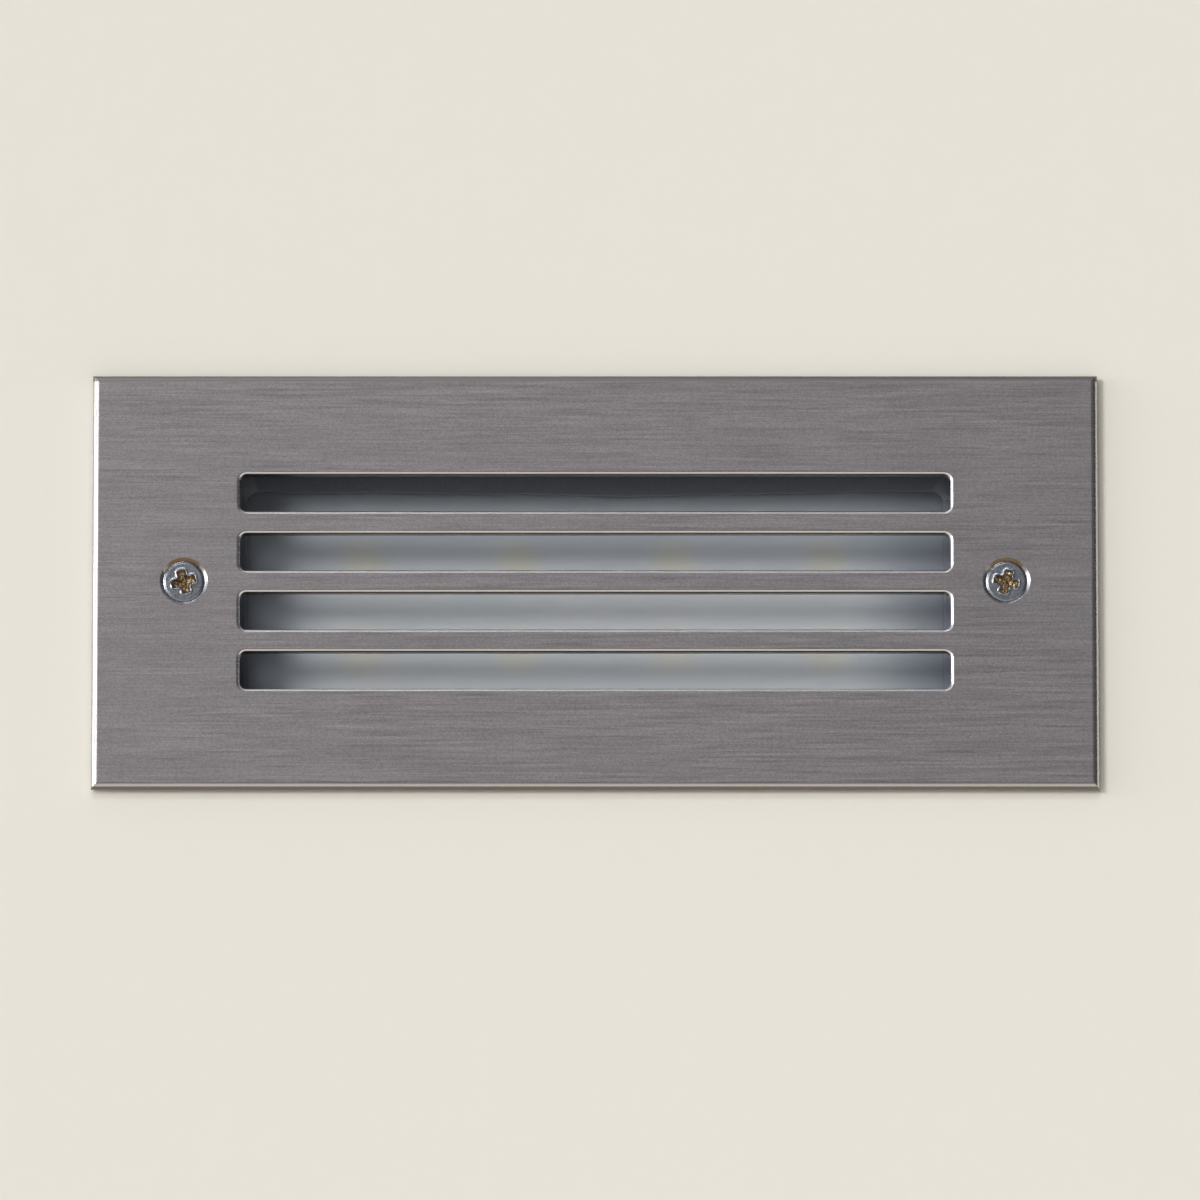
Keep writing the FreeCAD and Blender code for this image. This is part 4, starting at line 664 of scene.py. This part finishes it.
def glass_seal():
    """The silicone channel round the glass: round-edged lips, of which the upper one hangs in waves."""
    bm = bmesh.new()
    rows = []
    for half_x, half_z, corner, y, inset, hangs in seal_profile():
        row = []
        for point in rounded_path(half_x + inset, half_z + inset, corner):
            z = point.y
            if hangs and z > 0:
                z -= sag(point.x, half_x) * smoothstep(z / half_z * 3 - 2)
            row.append(bm.verts.new((point.x, y, z)))
        rows.append(row)
    skin(bm, rows + rows[:1])
    new_piece("wavy_glass_seal", bm, silicone(), "glass_seal")


def seal_profile():
    """The channel's section: half sizes, corner, level, growth outwards and whether it hangs."""
    low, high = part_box("glass_seal")
    pane_low, pane_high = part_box("glass_diffuser")
    half_x, half_z = (high.x - low.x) / 2, (high.z - low.z) / 2
    pane_x, pane_z = (pane_high.x - pane_low.x) / 2, (pane_high.z - pane_low.z) / 2
    outer = (half_x, half_z, SEAL_CORNERS["outer"])
    inner = (half_x - SEAL_WALL - SEAL_COVER_X, half_z - SEAL_WALL - SEAL_COVER_Z, SEAL_CORNERS["inner"])
    groove = (pane_x + GROOVE_GAP, pane_z + GROOVE_GAP, SEAL_CORNERS["groove"])
    front, back = low.y, high.y
    slot_front, slot_back = pane_low.y, pane_high.y
    lip = slot_front - front
    return [
        (*outer, front + 0.2 * MM, 0, False),
        (*outer, front, -LIP_CHAMFER, False),
        (*inner, front, LIP_CHAMFER, True),
        (*inner, front + lip * 0.2, 0, True),
        (*inner, front + lip * 0.88, 0, True),
        (*inner, slot_front, EDGE_CHAMFER, True),
        (*groove, slot_front, 0, False),
        (*groove, slot_back, 0, False),
        (*inner, slot_back, EDGE_CHAMFER, False),
        (*inner, slot_back + lip * 0.5, 0, False),
        (*inner, back, EDGE_CHAMFER, False),
        (*outer, back, 0, False),
    ]


def sag(x, half):
    """How far the seal's upper lip hangs below its straight line at x."""
    place = x / half
    ripple = sum(height * math.sin(pace * place + start) for height, pace, start in RIPPLES)
    return BELLY * (1 - place * place) + ripple * (1 - place ** 4)


def rounded_path(half_x, half_z, corner):
    """Points round a rounded rectangle, the same number for every size, starting on the right side."""
    middles = [Vector((sx * (half_x - corner), sz * (half_z - corner)))
               for sx, sz in ((1, 1), (-1, 1), (-1, -1), (1, -1))]
    points = []
    for quarter, middle in enumerate(middles):
        for step in range(CORNER_STEPS + 1):
            points.append(on_circle(middle, corner, quarter + step / CORNER_STEPS))
        start = points[-1]
        end = on_circle(middles[(quarter + 1) % 4], corner, quarter + 1)
        steps = LONG_STEPS if quarter % 2 == 0 else SHORT_STEPS
        points += [start.lerp(end, step / steps) for step in range(1, steps)]
    return points


def on_circle(middle, radius, quarters):
    angle = math.pi / 2 * quarters
    return middle + radius * Vector((math.cos(angle), math.sin(angle)))


# ---------------------------------------------------------------- CAD nodes that stay

def dress(material, *names):
    """Give CAD nodes a material and smooth shading with creases, and keep their flat faces flat."""
    for name in names:
        piece = NODES[name]
        piece.data.materials.clear()
        piece.data.materials.append(material)
        crease(piece, NODE_CREASE)
        weighted = piece.modifiers.new("even_normals", "WEIGHTED_NORMAL")
        weighted.keep_sharp = True
        weighted.weight = 90


def dress_nodes():
    dress(brushed_steel(), "faceplate")
    dress(frosted_glass(), "glass_diffuser")
    dress(powder_coat("frame_grey", (0.15, 0.165, 0.19)), "glass_clamp_frame")
    dress(cast_aluminium(), "lamp_body")
    dress(moulded_plastic("washer_nylon", (0.74, 0.73, 0.68), 0.42), "screw_retaining_washers")
    dress(foam(), "faceplate_gasket")
    dress(plated_steel("zinc_plate", (0.58, 0.58, 0.56), (0.50, 0.45, 0.32), 0.28),
          "clamp_screws", "board_screws", "terminal_screws", "block_screws", "driver_screws")
    dress(turned_brass(), "threaded_inserts", "terminal_clamps")
    dress(rubber("heat_pad", (0.34, 0.37, 0.40), 0.7, 900, 0.05), "thermal_pad")
    dress(solder_mask(), "led_board")
    dress(moulded_plastic("chip_white", (0.86, 0.86, 0.84), 0.35, 4200, 0.01), "led_chips")
    dress(yellow_phosphor(), "led_phosphors")
    dress(moulded_plastic("reflector_white", (0.84, 0.85, 0.85), 0.3, 2600, 0.01), "reflector_tray")
    dress(moulded_plastic("connector_white", (0.78, 0.77, 0.72), 0.45), "board_connector")
    dress(rubber("black_rubber", (0.022, 0.022, 0.023)),
          "lead_grommet", "gland_washer", "gland_bush", "entry_plug")
    dress(lead_skin("lead_red", (0.50, 0.022, 0.02)), "lead_red")
    dress(lead_skin("lead_black", (0.018, 0.018, 0.02)), "lead_black")
    dress(lead_skin("lead_brown", (0.17, 0.07, 0.028)), "supply_lead_live")
    dress(lead_skin("lead_blue", (0.025, 0.10, 0.38)), "supply_lead_neutral")
    dress(moulded_plastic("block_natural", (0.70, 0.69, 0.62), 0.48), "terminal_block")
    dress(moulded_plastic("driver_black", (0.042, 0.042, 0.045), 0.52), "driver_case", "driver_lid")
    dress(rubber("potting_grey", (0.12, 0.12, 0.125), 0.5, 400), "driver_potting")
    dress(moulded_plastic("box_charcoal", (0.085, 0.086, 0.09), 0.56, 1500, 0.045), "recess_box")
    dress(moulded_plastic("gland_charcoal", (0.10, 0.10, 0.105), 0.42, 2200, 0.02),
          "gland_body", "gland_locknut", "gland_nut")


# ---------------------------------------------------------------- wall and floor

WALL = (0.791, 0.761, 0.694)
WALL_REACH = 3.0
WALL_LEVEL = 0.03 * MM      # just behind the gasket, so that the two don't share a plane
WALL_MARGIN = 3 * MM        # how far the wall reaches in behind the gasket
FLOOR = (0.82, 0.79, 0.73)
FLOOR_LEVEL = -1.25
FLOOR_REACH = 4.0


def matt(g, colour):
    paint = g.add("ShaderNodeBsdfDiffuse")
    g.feed(paint.inputs["Color"], colour)
    return paint.outputs[0]


def pale_floor():
    """Matt where it throws light back, and plainly pale to the camera, in metal and through glass."""
    g = Material("floor_paint")
    shown = g.add("ShaderNodeEmission")
    g.feed(shown.inputs["Color"], FLOOR)
    rays = g.add("ShaderNodeLightPath").outputs
    mirrored = g.math("MAXIMUM", rays["Is Glossy Ray"], rays["Is Transmission Ray"])
    seen = g.math("MAXIMUM", rays["Is Camera Ray"], mirrored)
    return g.one_way(g.blend(seen, matt(g, FLOOR), shown.outputs[0]))


def stage_piece(name, points, faces, material):
    """A surface of the stage, which isn't part of the light."""
    mesh = bpy.data.meshes.new(name)
    mesh.from_pydata(points, [], faces)
    mesh.materials.append(material)
    piece = bpy.data.objects.new(name, mesh)
    bpy.context.scene.collection.objects.link(piece)


def wall():
    """The wall that the light is let into, with its cut-out hidden under the gasket."""
    low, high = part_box("faceplate_gasket")
    xs = [-WALL_REACH, low.x + WALL_MARGIN, high.x - WALL_MARGIN, WALL_REACH]
    zs = [FLOOR_LEVEL, low.z + WALL_MARGIN, high.z - WALL_MARGIN, WALL_REACH]
    points = [(x, WALL_LEVEL, z) for z in zs for x in xs]
    corners = [4 * row + column for row in range(3) for column in range(3) if (row, column) != (1, 1)]
    g = Material("wall_paint")
    stage_piece("wall", points, [(k, k + 1, k + 5, k + 4) for k in corners], g.one_way(matt(g, WALL)))


def floor():
    r = FLOOR_REACH
    points = [(x, y, FLOOR_LEVEL) for x, y in ((-r, -r), (r, -r), (r, r), (-r, r))]
    stage_piece("floor", points, [(0, 1, 2, 3)], pale_floor())


# ---------------------------------------------------------------- lamps and room

ROOM = 0.25                 # how bright the plain part of the room is
ROOM_COLOUR = (0.95, 0.97, 1.0)


def distant_softbox(name, azimuth, elevation, spread, strength, colour=(1, 1, 1)):
    """A softbox so far away that it lights the whole wall evenly.

    Angles are in degrees: azimuth 0 is in front and positive is right.
    """
    data = bpy.data.lights.new(name, "SUN")
    data.energy = strength
    data.angle = math.radians(spread)
    data.color = colour
    lamp = bpy.data.objects.new(name, data)
    a, e = math.radians(azimuth), math.radians(elevation)
    source = Vector((math.sin(a) * math.cos(e), -math.cos(a) * math.cos(e), math.sin(e)))
    lamp.rotation_mode = "QUATERNION"
    lamp.rotation_quaternion = (-source).to_track_quat("-Z", "Y")
    bpy.context.scene.collection.objects.link(lamp)


def lamps():
    """A low key from the left, one from above, one along the wall, and one for the pieces in the wall."""
    distant_softbox("key", -32, 10, 18, 1.56, (1.0, 0.99, 0.98))
    distant_softbox("top", -10, 35, 14, 0.55)
    distant_softbox("side", -82, 6, 24, 0.5)
    distant_softbox("behind", 150, 42, 30, 1.5)


def studio():
    """The room: even and plain in front, brighter to the left and overhead, dimmer to the right and below."""
    world = bpy.data.worlds.new("studio")
    bpy.context.scene.world = world
    world.use_nodes = True
    g = Graph(world.node_tree)
    background = g.tree.nodes["Background"]
    toward = g.axes(g.add("ShaderNodeTexCoord").outputs["Generated"])
    left = g.ramp(toward["X"], 1.9, 0.0, -0.97, -0.62)
    crown = g.ramp(toward["Z"], 0.0, 0.38, 0.55, 0.85)
    right = g.ramp(toward["X"], 1.0, 0.35, 0.36, 0.80)
    high = g.ramp(toward["Z"], 1.0, 0.42, 0.30, 0.62)
    low = g.ramp(toward["Z"], 0.5, 1.0, -0.22, 0.04)
    plain = g.times(right, high, low, ROOM)
    g.link(g.math("ADD", g.math("ADD", plain, left), crown), background.inputs["Strength"])
    g.feed(background.inputs["Color"], ROOM_COLOUR)


# ---------------------------------------------------------------- camera

PLATE_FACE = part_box("faceplate")[0].y
ELEVATION = math.radians(-12)
DISTANCE = 4.0
FRAME_WIDTH = 274.2 * MM    # what the photo's width spans at the plate
AIM_RIGHT = 1.12 * MM
AIM_DOWN = 4.34 * MM
SENSOR = 36                 # in millimetres, as Blender takes it
FAR = 50


def camera():
    """A long lens, squarely in front and 12 degrees below."""
    data = bpy.data.cameras.new("camera")
    data.sensor_width = SENSOR
    data.lens = SENSOR * DISTANCE / FRAME_WIDTH
    data.clip_end = FAR
    back = Vector((0, -math.cos(ELEVATION), math.sin(ELEVATION)))
    up = Vector((0, math.sin(ELEVATION), math.cos(ELEVATION)))
    target = Vector((AIM_RIGHT, PLATE_FACE, 0)) - AIM_DOWN * up
    holder = bpy.data.objects.new("camera", data)
    holder.location = target + back * DISTANCE
    holder.rotation_mode = "QUATERNION"
    holder.rotation_quaternion = (-back).to_track_quat("-Z", "Y")
    bpy.context.scene.collection.objects.link(holder)
    bpy.context.scene.camera = holder


def look():
    bpy.context.scene.view_settings.view_transform = "Standard"


dress_nodes()
face_screws()
glass_seal()
wall()
floor()
lamps()
studio()
camera()
look()
